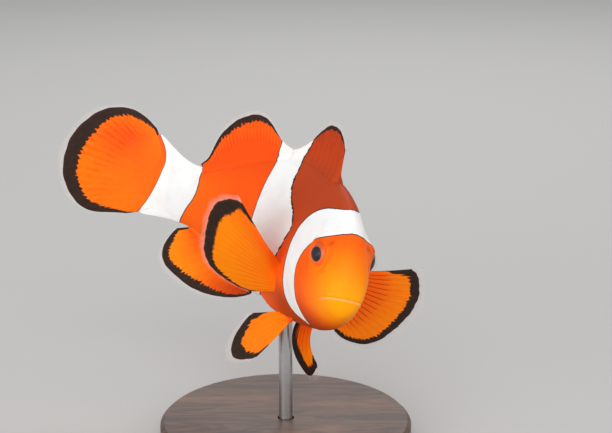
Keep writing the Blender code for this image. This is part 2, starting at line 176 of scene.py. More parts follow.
# The skin's map: the body's part of it, the gap between two fins, and bottom and top of each fin's
# two faces and rim. The clear edges' map: bottom and top of the same, for each fin a strip higher up.
BODY_BOX = (0.004, 0.420, 0.996, 0.996)
MAP_GAP = 0.008
FIN_BOXES = ((0.005, 0.200), (0.210, 0.405), (0.200, 0.205))
FRINGE_BOXES = ((0, 0.050), (0.060, 0.110), (0.052, 0.058))
FRINGE_STRIP = 0.122

# ---------------------------------------------------------------- markings
# Band edges: degrees round from the ridge of the back to the belly, and share behind the snout.
# Below 0 they go on up the fin of the back. The tail band's rear edge goes by height over the spine.
HEAD_BAND_FRONT = ((0, 0.090), (22, 0.098), (45, 0.132), (59, 0.174), (72, 0.216), (85, 0.242),
                   (98, 0.244), (111, 0.237), (122, 0.229), (132, 0.213), (143, 0.198), (180, 0.180))
HEAD_BAND_REAR = ((0, 0.165), (20, 0.180), (30, 0.206), (40, 0.244), (50, 0.278), (60, 0.302),
                  (75, 0.320), (100, 0.322), (118, 0.317), (130, 0.302), (143, 0.262), (156, 0.196),
                  (180, 0.120))
MID_BAND_FRONT = ((-30, 0.470), (-19, 0.488), (0, 0.502), (20, 0.490), (30, 0.478), (38, 0.471),
                  (46, 0.458), (54, 0.430), (62, 0.383), (70, 0.358), (80, 0.370), (90, 0.388),
                  (105, 0.420), (125, 0.462), (140, 0.500), (160, 0.530), (180, 0.540))
MID_BAND_REAR = ((-30, 0.620), (0, 0.609), (30, 0.590), (50, 0.588), (90, 0.585), (120, 0.585),
                 (150, 0.595), (180, 0.600))
TAIL_BAND_FRONT = ((0, 0.860), (30, 0.868), (78, 0.862), (116, 0.890), (150, 0.908), (180, 0.915))
TAIL_BAND_REAR = ((-0.140, 1.085), (-0.098, 1.0610), (-0.026, 1.0295), (0.038, 1.0118), (0.078, 1.0056),
                  (0.108, 1.0140), (0.153, 1.0490))
GIRTH = 0.0035                  # share of length round the body that one degree spans
BAND_LINES = (0.13, 0.17, 0.31, 0.15, 0.17, 0.08)   # width in mm of the black line at each edge in turn
NO_MARK = -9.0                  # a distance from a marking's edge that counts as far outside

# ---------------------------------------------------------------- what a user can change


def colour(name, description, default):
    """A colour setting."""
    return FloatVectorProperty(name=name, description=description, default=default, subtype="COLOR",
                               size=3, min=0, max=1)


def length(name, description, default):
    """A length setting, in metres."""
    return FloatProperty(name=name, description=description, default=default, unit="LENGTH",
                         precision=6, min=0)


class ClownfishColours(PropertyGroup):
    """Colours of the fish and its stand."""

    umber: colour("Nape", "Darkest red-brown of the nape", (0.370, 0.043, 0.010))
    rust: colour("Shoulder", "Red-brown of the shoulder", (0.530, 0.054, 0.007))
    vermilion: colour("Flank", "Red-orange of the flank", (0.880, 0.078, 0.003))
    orange: colour("Fins", "Orange of the fins", (0.960, 0.122, 0.002))
    amber: colour("Fin middles", "Golden orange of the fins' middles", (0.980, 0.225, 0.001))
    gold: colour("Snout", "Yellow-orange round the mouth", (1.000, 0.330, 0.001))
    white: colour("Bands", "White of the three bands", (0.850, 0.838, 0.812))
    black: colour("Margins", "Black of the fins' margins", (0.018, 0.010, 0.007))
    pupil: colour("Pupil", "Blue-black of the pupils", (0.005, 0.006, 0.011))
    clear: colour("Clear parts", "Milky tint of the fins' clear edge", (0.700, 0.600, 0.540))
    wood: colour("Stand wood", "Mid brown of the stand's base", (0.110, 0.048, 0.022))


class ClownfishSizes(PropertyGroup):
    """Finer sizes of the fish's surface."""

    fringe: length("Clear edge", "Thickness of the fins' clear edge", 0.00004)
    scale_length: length("Scale", "Spacing of the scales along the fish", 0.00090)
    scale_rise: length("Scale edge", "How far a scale's free edge stands up", 0.000016)
    ray_rise: length("Fin ray", "How far a fin ray stands out of its blade", 0.00003)


# ---------------------------------------------------------------- curves
def hermite(knots, values, at):
    """Smooth curve through the values, with the slope at each knot taken from its neighbours."""
    knots = np.asarray(knots, float)
    values = np.asarray(values, float)
    at = np.asarray(at, float)
    slopes = np.gradient(values, knots)
    low = np.clip(np.searchsorted(knots, at) - 1, 0, len(knots) - 2)
    width = knots[low + 1] - knots[low]
    t = (at - knots[low]) / width
    return (
        (2 * t**3 - 3 * t**2 + 1) * values[low]
        + (t**3 - 2 * t**2 + t) * width * slopes[low]
        + (3 * t**2 - 2 * t**3) * values[low + 1]
        + (t**3 - t**2) * width * slopes[low + 1]
    )


def along(values, at):
    """The smooth curve through values that are evenly spread from 0 to 1."""
    return hermite(np.linspace(0, 1, len(values)), values, at)


def curve(pairs, at):
    """The smooth curve through (place, value) pairs, level beyond both ends."""
    places, values = zip(*pairs)
    return hermite(places, values, np.clip(at, places[0], places[-1]))


def hump(distance, width):
    """A soft hump: 1 where the distance is 0, and next to nothing past twice the width."""
    return np.exp(-((distance / width) ** 2))


def rise(low, high, at):
    """A smooth step from 0 at low to 1 at high."""
    t = np.clip((at - low) / (high - low), 0, 1)
    return t * t * (3 - 2 * t)


def blend(first, second, weight):
    """Goes from the first value to the second as the weight goes from 0 to 1."""
    return first + (second - first) * weight


# ---------------------------------------------------------------- the fish's own space
def body_size(share, column):
    """Height (1), depth (2) or half width (3) of the body at a share of its length."""
    return hermite(np.sqrt(BODY[:, 0]), BODY[:, column], np.sqrt(np.clip(share, 0, 1)))


def body_surface(share, angle):
    """Straight body at a share of its length and an angle round it (0 left, 90 degrees top).

    Each cross-section is an oval with its own height, depth and width, drawn in towards the ridges of
    back and belly, swollen over the eyes and hollowed at the vent. Past 1 its width runs out, by the
    power of 1.5, between the faces of the tail fin, and its ridges spread by a straight rise less one
    of the power of 6.
    """
    up = np.sin(angle) > 0
    vent = VENT_DIP * hump(share - VENT_SHARE, VENT_REACH)
    tall = np.where(up, body_size(share, 1), body_size(share, 2) - vent)
    run = np.clip((share - 1) / TAIL_RUN_IN, 0, 1)
    wide = body_size(share, 3) * blend(TAIL_RUN_WIDTH, 1, (1 - run) ** 1.5)
    pinch = np.where(up, BACK_PINCH, BELLY_PINCH)
    spread = np.where(up, *(out * run - back * run**6 for out, back in RIDGE_SPREAD))
    height = tall * np.sin(angle) * (1 + spread)
    side = wide * np.cos(angle) * (1 - pinch * np.sin(angle) ** 2)
    near_brow = ((share - BROW_SHARE) ** 2 + (height - BROW_HEIGHT) ** 2) / BROW_SPREAD**2
    side = side + BROW_SWELL * np.exp(-near_brow) * np.cos(angle)
    return np.stack([share + 0 * side, side, height], -1)


def spine_turn(share):
    """How far the spine has turned to the right at a share of the length, in radians."""
    knots, turns = zip(*SPINE)
    return np.radians(hermite(knots, turns, np.clip(share, 0, knots[-1])))


def fish_matrix():
    """Rotation from the fish's frame to the model's: bank, then pitch, then yaw."""
    x, y, z = (radians(angle) for angle in (FISH_BANK, FISH_PITCH, FISH_YAW))
    bank = np.array([[1, 0, 0], [0, cos(x), -sin(x)], [0, sin(x), cos(x)]])
    pitch = np.array([[cos(y), 0, sin(y)], [0, 1, 0], [-sin(y), 0, cos(y)]])
    yaw = np.array([[cos(z), -sin(z), 0], [sin(z), cos(z), 0], [0, 0, 1]])
    return yaw @ pitch @ bank


def place(points):
    """Lays straight points along the bent spine and turns them into the model's frame, in metres.

    The spine is the sum of short steps, each turned by the spine's turn there; a point keeps its
    distance left of it and above it.
    """
    shares = np.linspace(0, SPINE_END, SPINE_STEPS + 1)
    turn = spine_turn(shares)
    step = np.stack([-np.cos(turn), -np.sin(turn)], -1) * (shares[1] - shares[0])
    centre = np.vstack([[0, 0], np.cumsum((step[1:] + step[:-1]) / 2, axis=0)])
    back, side, height = np.moveaxis(np.asarray(points, float), -1, 0)
    local_turn = np.interp(back, shares, turn)
    forward = np.interp(back, shares, centre[:, 0]) - np.minimum(back, 0) - side * np.sin(local_turn)
    left = np.interp(back, shares, centre[:, 1]) + side * np.cos(local_turn)
    bent = np.stack([forward, left, height], -1) * STANDARD_LENGTH
    return bent @ fish_matrix().T + np.array(SNOUT_PLACE)


def normals(grid, wrap=False):
    """Unit normals of a grid of points, from the cross product of its two directions."""
    down = np.gradient(grid, axis=0)
    if wrap:
        across = np.roll(grid, -1, axis=1) - np.roll(grid, 1, axis=1)
    else:
        across = np.gradient(grid, axis=1)
    normal = np.cross(across, down)
    return normal / np.maximum(np.linalg.norm(normal, axis=-1, keepdims=True), 1e-12)


# ---------------------------------------------------------------- markings as functions of place
def from_band_edge(pairs, share, way, step=1, span=GIRTH):
    """How far behind a band's edge a place lies, in shares, measured square to the edge.

    The edge's slope is taken over one step each way, where one step spans so much of the length.
    """
    slope = (curve(pairs, way + step) - curve(pairs, way - step)) / (2 * span)
    return (share - curve(pairs, way)) / np.sqrt(1 + slope**2)


def band_depths(share, around, height):
    """How far inside each band's front edge and rear edge a place lies, in millimetres."""
    edges = (HEAD_BAND_FRONT, HEAD_BAND_REAR, MID_BAND_FRONT, MID_BAND_REAR, TAIL_BAND_FRONT)
    behind = [from_band_edge(edge, share, around) for edge in edges]
    behind.append(from_band_edge(TAIL_BAND_REAR, share, height, step=0.01, span=0.01))
    return np.stack([front * depth for front, depth in zip((1, -1) * 3, behind)]) / MM


def white_depth(share, around, height):
    """How far inside the nearest white band a place lies, in millimetres; below 0 outside it."""
    depths = band_depths(share, around, height)
    return np.minimum(depths[::2], depths[1::2]).max(0)


def line_width(share, around, height):
    """Width in millimetres of the black line along the band edge nearest to a place."""
    return np.array(BAND_LINES)[np.abs(band_depths(share, around, height)).argmin(0)]


# The face's gold by height: it fades from the mouth up to the brow and down to the throat
FACE_GOLD = ((-0.200, 0.26), (-0.130, 0.32), (-0.090, 0.50), (-0.050, 0.92), (-0.010, 1.0),
             (0.030, 0.88), (0.060, 0.73), (0.090, 0.56), (0.120, 0.38), (0.150, 0.20))


def body_tone(share, around, height):
    """Tone of the body's colour, from 0, the nape's umber, to 1, the snout's gold.

    Three fields that meet under the white bands: the face, golden round the mouth; the shoulder, dark
    on the nape and lighter downwards; and the trunk, which lightens towards the tail.
    """
    face = 0.50 + 0.50 * hump(share, 0.145) * curve(FACE_GOLD, height)
    shoulder = 0.06 + 0.50 * rise(45, 112, around)
    trunk = 0.42 + 0.11 * rise(15, 75, around) + 0.08 * rise(0.70, 0.88, share)
    front = curve(HEAD_BAND_FRONT, around)
    rear = np.maximum(curve(HEAD_BAND_REAR, around), front + 0.03)
    tone = blend(face, shoulder, rise(front, rear, share))
    front = curve(MID_BAND_FRONT, around)
    return blend(tone, trunk, rise(front + 0.01, front + 0.08, share))


# ---------------------------------------------------------------- meshes
def add_object(name, data):
    """Adds an object to the scene."""
    made = bpy.data.objects.new(name, data)
    bpy.context.scene.collection.objects.link(made)
    return made


class Patches:
    """Surfaces gathered into one mesh, with their values by vertex and their places on a map."""

    def __init__(self):
        self.points = []
        self.faces = []
        self.values = {}
        self.maps = []
        self.count = 0

    def add(self, points, quads, values, places):
        """Adds points (straight, in shares), quads of their numbers, values and map places."""
        self.points.append(points.reshape(-1, 3))
        self.faces.append(quads.reshape(-1, 4) + self.count)
        for key, value in values.items():
            flat = np.broadcast_to(value, points.shape[:-1]).reshape(-1)
            self.values.setdefault(key, []).append(flat)
        self.maps.append(places.reshape(-1, 2))
        self.count += len(self.points[-1])

    def join(self, quads, places):
        """Adds quads between points that are already there."""
        self.faces.append(quads)
        self.maps.append(places.reshape(-1, 2))

    def build(self, name, material, crease=None):
        """Makes the object, laid along the spine; a quad whose last two points agree is a triangle.

        It is shaded smooth, apart from edges sharper than a crease in degrees where one is given.
        """
        points = place(np.vstack(self.points))
        quads = np.vstack(self.faces)
        corners = np.vstack(self.maps)
        single = quads[:, 2] == quads[:, 3]
        keep = np.ones(quads.shape, bool)
        keep[single, 3] = False
        mesh = bpy.data.meshes.new(name)
        mesh.vertices.add(len(points))
        mesh.vertices.foreach_set("co", points.astype(np.float32).ravel())
        mesh.loops.add(int(keep.sum()))
        mesh.loops.foreach_set("vertex_index", quads[keep].astype(np.int32))
        mesh.polygons.add(len(quads))
        sizes = np.where(single, 3, 4)
        starts = np.concatenate([[0], np.cumsum(sizes)[:-1]])
        mesh.polygons.foreach_set("loop_start", starts.astype(np.int32))
        mesh.update(calc_edges=True)
        layer = mesh.uv_layers.new(name="OFBake")
        layer.uv.foreach_set("vector", corners[keep.ravel()].astype(np.float32).ravel())
        for key, parts in self.values.items():
            attribute = mesh.attributes.new(key, "FLOAT", "POINT")
            attribute.data.foreach_set("value", np.concatenate(parts).astype(np.float32))
        mesh.shade_smooth()
        if crease:
            mesh.set_sharp_from_angle(angle=radians(crease))
        mesh.materials.append(material)
        mesh.validate()
        made = add_object(name, mesh)
        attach(made, "root")
        return made


def grid_quads(rows, columns, wrap=False):
    """Quads of a grid stored row by row, facing the side on which across, down and out turn left."""
    row, column = np.meshgrid(np.arange(rows - 1), np.arange(columns if wrap else columns - 1),
                              indexing="ij")
    after = (column + 1) % columns
    return np.stack([row * columns + column, (row + 1) * columns + column,
                     (row + 1) * columns + after, row * columns + after], -1).reshape(-1, 4)


def grid_map(u, v):
    """Map places of a grid's quads, with u down its rows and v across its columns."""
    grid = np.stack(np.meshgrid(u, v, indexing="ij"), -1)
    corners = [grid[:-1, :-1], grid[1:, :-1], grid[1:, 1:], grid[:-1, 1:]]
    return np.stack(corners, 2).reshape(-1, 4, 2)


def capped_quads(rows, columns):
    """Quads of rings, shut by fans round two points that are stored after the rings' own."""
    here = np.arange(columns)
    after = (here + 1) % columns
    first, last = np.full((2, columns), rows * columns) + [[0], [1]]
    end = (rows - 1) * columns
    return np.vstack([grid_quads(rows, columns, wrap=True), np.stack([first, here, after, after], -1),
                      np.stack([last, end + after, end + here, end + here], -1)])


def capped_map(rows, columns, margin):
    """Map places of those quads: rings run down the map, short of its ends by a margin for the fans."""
    u = np.linspace(margin, 1 - margin, rows)
    v = np.linspace(0, 1, columns + 1)
    places = [grid_map(u, v)]
    for tip, ring, left, right in ((0, u[0], v[:-1], v[1:]), (1, u[-1], v[1:], v[:-1])):
        down = np.broadcast_to([tip, ring, ring, ring], (columns, 4))
        across = np.stack([(left + right) / 2, left, right, right], -1)
        places.append(np.stack([down, across], -1))
    return np.vstack(places)


def set_in(places, box):
    """Moves map places from the unit square into a box: left, bottom, right, top."""
    low, high = np.array(box[:2]), np.array(box[2:])
    return low + (high - low) * places


def flesh_values(share, around, height, **own):
    """The values that flesh is coloured by: tone and bands as on the body, and the piece's own."""
    bare = 0 * around
    values = {
        "tone": body_tone(share, around, height),
        "white": white_depth(share, around, height),
        "line": line_width(share, around, height),
        # shade is how much painted shade darkens a place; the lip value is the lip edge's own tint with
        # its painted highlight
        "lip": bare, "shade": bare, "black": NO_MARK + bare, "ray": bare, "tooth": bare,
        "streak": bare, "vein": bare, "blade": bare,
    }
    return {**values, **own}


# ---------------------------------------------------------------- the skin's finer relief
def mouth_line(share):
    """Height of the slit between the lips: it falls from the snout to the mouth's corner."""
    return LIP_FRONT - LIP_DROP * np.clip(share / MOUTH_END, 0, None) ** LIP_BEND


def lip_parts(points):
    """How far a point is above the mouth's slit, and 1 where there are lips, falling to 0 behind."""
    share, height = points[..., 0], points[..., 2]
    return height - mouth_line(share), rise(1.15 * MOUTH_END, 0.40 * MOUTH_END, share)


def nostril_distance(share, height):
    """Distance from the nostril in side view."""
    return np.hypot(share - NOSTRIL[0], height - NOSTRIL[1])


def relief(points):
    """How far the skin stands out along its normal: a sum of soft humps for lips, nostrils, jaw and
    brow, of steps along the edges of the gill plates, and of a lobe at each pectoral fin's root."""
    share, _, height = np.moveaxis(points, -1, 0)
    gape, lips = lip_parts(points)
    out = lips * sum(lift * hump(gape - above, wide) for lift, above, wide in LIPS)
    deep, level, wide = JAW_HOLLOW
    out = out - deep * hump(height - level, wide) * rise(0.004, 0.045, share) * rise(0.17, 0.04, share)
    deep, above, wide = BROW_HOLLOW
    out = out - deep * hump(np.hypot(share - BROW_SHARE, height - BROW_HEIGHT - above), wide)
    nostril = nostril_distance(share, height)
    out = out + NOSTRIL_RIM[0] * hump(nostril, NOSTRIL_RIM[1])
    out = out - NOSTRIL_PIT[0] * hump(nostril, NOSTRIL_PIT[1])
    for rearmost, middle, tall, bow, lift, groove in PLATE_EDGES:
        level = (height - middle) / tall
        behind = share - (rearmost - bow * level**2)
        here = rise(1.25, 0.75, np.abs(level))
        out = out + here * lift * rise(-0.085, -0.010, behind) * rise(0.0045, -0.0015, behind)
        out = out - here * groove * hump(behind - 0.0050, 0.0050)
    lift, behind, long, tall = PECTORAL_LOBE
    root_share, _, root_height = PECTORAL["root"]
    lobe = np.hypot((share - root_share - behind) / long, (height - root_height) / tall)
    return out + lift * hump(lobe, 1)


def seat_eyes(points):
    """Draws the skin in to each orbit's rim, and sinks it behind the eyeball inside the rim."""
    for way in (1, -1):
        centre = np.array([EYE_SHARE, way * EYE_SIDE, EYE_HEIGHT])
        axis = np.array([-cos(radians(EYE_LOOK)), way * sin(radians(EYE_LOOK)), 0])
        offset = points - centre
        out = offset @ axis
        wide = np.linalg.norm(offset - out[..., None] * axis, axis=-1)
        near = (out > -0.03) & (wide < 0.09)
        seat = ORBIT_SEAT + ORBIT_LIP[0] * hump(wide - ORBIT_RADIUS - ORBIT_LIP[1], ORBIT_LIP[2])
        pull = near * rise(*(ORBIT_RADIUS + outside for outside in ORBIT_SLOPE), wide)
        seated = blend(out, seat, ORBIT_PULL * pull)
        inside = rise(ORBIT_RADIUS, ORBIT_RADIUS - ORBIT_STEP, wide)
        seated = blend(seated, ORBIT_FLOOR, near * inside)
        points = points + (seated - out)[..., None] * axis
    return points


def coat_share(share, around):
    """1 where scales cover the skin, falling to 0 on the bare face, tail fin and both ridges."""
    behind = share - curve(HEAD_BAND_FRONT, around)
    to_ridge = np.minimum(around, 180 - around) / np.degrees(MM / body_size(share, 3))
    return rise(*COAT_FRONT, behind) * rise(*COAT_REAR, share) * rise(*COAT_RIDGES, to_ridge)


def around_body(angle):
    """Degrees round from the ridge of the back (0) to the ridge of the belly (180)."""
    return np.abs((np.degrees(angle) + 90) % 360 - 180)


def body_skin(share, angle, depth=1.0):
    """The skin's straight points, with its relief and with the coat's depth taken off."""
    points = body_surface(share, angle)
    out = relief(points) - depth * COAT_DEPTH * coat_share(share, around_body(angle))
    return seat_eyes(points + out[..., None] * normals(points, wrap=True))


def add_body(patches):
    """The body from snout to tail: a grid of rings, shut at both ends by a fan of triangles."""
    last = 1 + TAIL_RUN_IN
    share = (np.linspace(0, np.sqrt(last), BODY_RINGS + 1)[1:] ** 2)[:, None]
    angle = np.linspace(0, 2 * pi, BODY_COLUMNS, endpoint=False)[None, :]
    points = body_skin(share, angle)
    height = points[..., 2]
    gape, lips = lip_parts(points)
    # The paler, pinkish edge of the lower lip: partly its own colour, partly a painted highlight where
    # the wet lip catches the light; and the face's painted shade.
    lip = lips * hump(gape + 0.0030, 0.0024) * rise(0.95 * MOUTH_END, 0.30 * MOUTH_END, share)
    values = flesh_values(share, around_body(angle) + 0 * share, height, lip=lip,
                          shade=painted_face_shade(share, height))
    values = {key: np.append(value, value[[0, -1], 0]) for key, value in values.items()}
    tips = [[points[0, :, 0].min(), 0, height[0].mean()], [last, 0, 0]]
    patches.add(np.vstack([points.reshape(-1, 3), tips]), capped_quads(BODY_RINGS, BODY_COLUMNS), values,
                set_in(capped_map(BODY_RINGS, BODY_COLUMNS, 0.01), BODY_BOX))


def painted_face_shade(share, height):
    """How much painted shade darkens the face: in the nostril pits, over the eyes, and along the throat,
    which faces down, away from the light.
    """
    nostril = 0.7 * hump(nostril_distance(share, height), 0.0095)
    over_eye = np.hypot((share - EYE_SHARE - 0.006) / 0.022, (height - EYE_HEIGHT - 0.036) / 0.010)
    throat = 0.95 * rise(-0.060, -0.135, height) * rise(0.50, 0.34, share)
    return np.clip(nostril + 0.5 * hump(over_eye, 1) + throat, 0, 1)


# ---------------------------------------------------------------- fins
def upright_blade(back, height):
    """A blade in the fish's middle plane, with its thickness across the fish."""
    middle = np.stack([back, 0 * back, height], -1)
    return middle, np.broadcast_to([0.0, 1.0, 0.0], middle.shape)


def dorsal_length(share):
    """Length of the ray of the back's fin that grows at this share."""
    return curve(DORSAL_RAYS, share)


def dorsal_blade(start, end):
    """The fin on the back between two shares: rays stand on the back's line and lean backwards."""
    first, last = DORSAL_RAYS[0][0], DORSAL_RAYS[-1][0]

    def surface(u, v):
        share = start + (end - start) * u
        lean = np.radians(along(DORSAL_LEAN, (share - first) / (last - first)))
        reach = -ROOT_SINK + (dorsal_length(share) + ROOT_SINK) * v
        return (*upright_blade(share + reach * np.sin(lean), body_size(share, 1) + reach * np.cos(lean)),
                reach)

    return surface


def anal_blade(u, v):
    """The fin under the belly's rear: rays hang from the belly's line and lean backwards."""
    share = ANAL_START + (ANAL_END - ANAL_START) * u
    lean = np.radians(along(ANAL_LEAN, u))
    reach = -ROOT_SINK + (along(ANAL_LENGTHS, u) + ROOT_SINK) * v
    return (*upright_blade(share + reach * np.sin(lean), -body_size(share, 2) - reach * np.cos(lean)),
            reach)


def tail_blade(u, v):
    """The tail fin: rays start down the stalk's flat end and rise or fall in a fan."""
    rise_angle = np.radians(along(TAIL_RISE, u))
    reach = along(TAIL_LENGTHS, u) * v
    height = TAIL_TOP + (TAIL_BOTTOM - TAIL_TOP) * u + reach * np.sin(rise_angle)
    return (*upright_blade(1 + FIN_GAP + reach * np.cos(rise_angle), height), reach)


def paired_blade(fin, hold, side):
    """A pectoral or pelvic fin: rays fanned from a short root line on one side.

    The blade's own axes are its middle ray, its width and its normal; each ray is a straight line
    fanned in the blade, plus a parabola that curls it out of the blade or hooks it within it. The feet
    of the first rays are drawn back or down, and in towards the fish's middle, under the skin.
    """
    sweep, lift, twist = (radians(hold[key]) for key in ("sweep", "lift", "twist"))
    flat = np.array([sin(sweep), side * cos(sweep), 0])
    axis = cos(lift) * flat + np.array([0, 0, sin(lift)])
    upright = -sin(lift) * flat + np.array([0, 0, cos(lift)])
    width_way = cos(twist) * upright + sin(twist) * np.cross(axis, upright)
    blade_normal = np.cross(axis, width_way)
    root = np.array([fin["root"][0], side * fin["root"][1], fin["root"][2]])

    def surface(u, v):
        first, last = hold["fan"]
        fan = np.radians(first + (last - first) * u)[..., None]
        ray = fin["length"] * along(hold["rays"], u)[..., None]
        reach = -ROOT_SINK + (ray + ROOT_SINK) * v[..., None]
        bent = reach**2 / ray
        middle = root + fin["base"] * (0.5 - u)[..., None] * width_way
        middle = middle + reach * (np.cos(fan) * axis + np.sin(fan) * width_way)
        middle = middle + bent * (hold["curl"] * blade_normal + hold["hook"] * width_way)
        foot = hump(u - 0.20, 0.50) * hump(reach[..., 0], 0.050)
        middle = middle * np.stack([1 + 0 * u, 1 - FOOT_TUCK * foot, 1 + 0 * u], -1)
        middle = middle + foot[..., None] * np.array([fin["foot"][0], 0, fin["foot"][1]])
        return middle, np.broadcast_to(blade_normal, middle.shape), reach[..., 0]

    return surface


def fin_settings(surface, **own):
    """A fin's settings: its surface, those that most fins share, and its own.

    root: half its thickness at the root, and how much more it flares there, in millimetres.
    start, end, film: shares of the rays' length where the blade starts and ends and its film ends.
    rays, columns, rows: how many rays it has, columns for each ray, and rows from root to rim.
    margin: width in millimetres of its black margin at even steps round its free edge, from the foot
    of the first ray to the foot of the last. teeth: points of the margin's inner edge at each ray.
    tones: from root to rim. streaks: how dark its rays are near the root and near the rim.
    bands: how much of the bands that cross its root it carries, by place across it and reach in mm.
    map_width: how wide its box on the skin's map is.
    """
    shared = {"root": (0.42, 0.75), "start": 0.0, "end": 0.90, "film": 1.0, "columns": 8,
              "bands": bands_nowhere}
    return {"surface": surface, **shared, **own}


def bands_nowhere(u, reach):
    """A fin without bands."""
    return 0


def bands_at_root(u, reach):
    """Bands on a fin's foot only."""
    return rise(0.9, 0.1, reach)


def bands_at_front(u, reach):
    """Bands on a fin's foot, short of its rear end, and all over its front."""
    return np.maximum(bands_at_root(u, reach) * rise(0.85, 0.70, u), rise(0.25, 0.15, u))


def bands_all_over(u, reach):
    """Bands all over a fin."""
    return 1


FINS = {
    "tail": fin_settings(
        tail_blade, root=(0.34, 0.0), film=0.96, start=-0.10, rays=15, rows=44, bands=bands_all_over,
        margin=(0, 0.25, 1.0, 1.5, 2.3, 2.9, 2.8, 2.6, 2.4, 1.8, 0.8, 0.12, 0), teeth=3,
        tones=(0.60, 0.66, 0.69, 0.70, 0.70), streaks=(0.10, 0.90), map_width=0.180,
    ),
    "spiny_dorsal": fin_settings(
        dorsal_blade(DORSAL_RAYS[0][0], DORSAL_NOTCH), rays=10, columns=6, rows=28, bands=bands_all_over,
        margin=(0, 0.04, 0.10, 0.16, 0.35, 0.60, 0.65, 0.50, 0.35, 0.2, 0.12, 0.10, 0), teeth=1,
        tones=(0.11, 0.15, 0.16, 0.14, 0.06), streaks=(0.2, 0.9), map_width=0.100,
    ),
    "soft_dorsal": fin_settings(
        dorsal_blade(DORSAL_NOTCH, DORSAL_RAYS[-1][0]), rays=16, rows=30, bands=bands_at_front,
        margin=(0, 0, 0.12, 0.30, 0.8, 1.15, 1.2, 1.15, 1.0, 0.75, 0.55, 0.40, 0.30), teeth=2,
        tones=(0.40, 0.41, 0.46, 0.54, 0.53), streaks=(0.0, 0.95), map_width=0.140,
    ),
    "anal": fin_settings(
        anal_blade, rays=13, rows=32, bands=bands_at_root,
        margin=(0.2, 0.4, 0.6, 0.9, 1.4, 1.8, 1.7, 1.6, 1.6, 1.6, 1.2, 0.6, 0.3), teeth=3,
        tones=(0.45, 0.60, 0.74, 0.82, 0.84), streaks=(0.15, 0.30), map_width=0.130,
    ),
    "pectoral_right": fin_settings(
        paired_blade(PECTORAL, PECTORAL_RIGHT, -1), root=(0.20, 0.06), end=0.93, rays=17, rows=32,
        margin=(0, 0, 0.10, 1.4, 2.8, 2.7, 2.5, 2.3, 1.7, 1.1, 0.45, 0.1, 0), teeth=3,
        tones=(0.62, 0.72, 0.80, 0.85, 0.86), streaks=(0.15, 0.20), map_width=0.150,
    ),
    "pectoral_left": fin_settings(
        paired_blade(PECTORAL, PECTORAL_LEFT, 1), root=(0.20, 0.06), rays=17, rows=32,
        margin=(0, 0, 0.06, 1.0, 1.8, 2.1, 2.1, 1.8, 1.4, 0.9, 0.7, 0.3, 0), teeth=2,
        tones=(0.45, 0.53, 0.62, 0.77, 0.78), streaks=(1.0, 0.20), map_width=0.150,
    ),
    "pelvic_right": fin_settings(
        paired_blade(PELVIC, PELVIC_RIGHT, -1), root=(0.22, 0.10), rays=6, rows=30,
        margin=(0, 0, 0.15, 1.0, 1.8, 2.5, 2.9, 2.5, 1.5, 0.7, 0.2, 0, 0), teeth=2,
        tones=(0.76, 0.80, 0.80, 0.77, 0.72), streaks=(0.20, 0.35), map_width=0.065,
    ),
    "pelvic_left": fin_settings(
        paired_blade(PELVIC, PELVIC_LEFT, 1), root=(0.22, 0.10), rays=6, rows=30,
        margin=(0.7, 0.8, 0.9, 1.1, 1.3, 1.6, 1.9, 1.5, 0.5, 0, 0, 0, 0), teeth=2,
        tones=(0.50, 0.55, 0.66, 0.76, 0.80), streaks=(0.5, 0.35), map_width=0.065,
    ),
}
FIN_RIM = 0.10                  # half a fin's thickness at its rim, in millimetres
FIN_ROUNDING = (0.22, 0.9)      # share of it left at the very edge, and millimetres back to the whole
FLARE_DEPTH = 0.5               # how far under the skin a fin's flare is widest, in millimetres
FLARE_WIDTH = 1.3
PLEAT = 0.020                   # how far a fin's rays lie to alternate sides, in millimetres
FLUTTER = 0.22                  # how far its rim waves to either side, in millimetres
RIM_WANDER = 0.005              # share of its rays' length by which its rim wanders
CORNER_CUT = (0.045, 0.030)     # share of that length cut off at its corners, and how wide they are
FRINGE_LAP = 0.03               # how far a fin's clear edge starts inside its blade's end
FOOT_ROUND = 13.0               # degrees round the body at which the flared foot of a fin meets it
FOOT_HEIGHT = 1.5               # height in millimetres over which a fin's foot stops counting as body
EDGE_POINTS = 500               # how finely a fin's free edge is measured


def ray_profile(phase, v):
    """1 on a fin ray and 0 between rays; past the middle of the fin each ray has split in two."""
    single = 0.5 + 0.5 * np.cos(2 * pi * phase)
    double = 0.5 + 0.5 * np.cos(4 * pi * phase)
    return blend(single, double, rise(0.45, 0.62, v)) ** 1.5


def fin_middle(fin, u, v):
    """A fin's middle points, its thickness direction and its reach past the body's surface.

    Between rays it is pleated a little to alternate sides, and its rim flutters.
    """
    middle, across, reach = fin["surface"](u, v)
    pleat = PLEAT * MM * np.cos(2 * pi * fin["rays"] * u) * rise(0.05, 0.5, v)
    flutter = FLUTTER * MM * np.sin(2.6 * pi * u + 1.1) * v**2
    return middle + (pleat + flutter)[..., None] * across, across, reach


def free_edge(middle, reach):
    """Each place's distance in millimetres from the fin's free edge, and how far round that edge, from
    the foot of the first ray (0) to the foot of the last (1), its nearest point lies."""
    first = middle[0][reach[0] > 0]
    last = middle[-1][reach[-1] > 0]
    edge = np.vstack([first[:-1], middle[:, -1], last[-2::-1]]) / MM
    steps = np.linalg.norm(np.diff(edge, axis=0), axis=-1)
    run = np.concatenate([[0], np.cumsum(steps)]) / steps.sum()
    even = np.linspace(0, 1, EDGE_POINTS)
    edge = np.stack([np.interp(even, run, edge[:, axis]) for axis in range(3)], -1)
    gaps = np.linalg.norm(middle[..., None, :] / MM - edge, axis=-1)
    return gaps.min(-1), even[gaps.argmin(-1)]


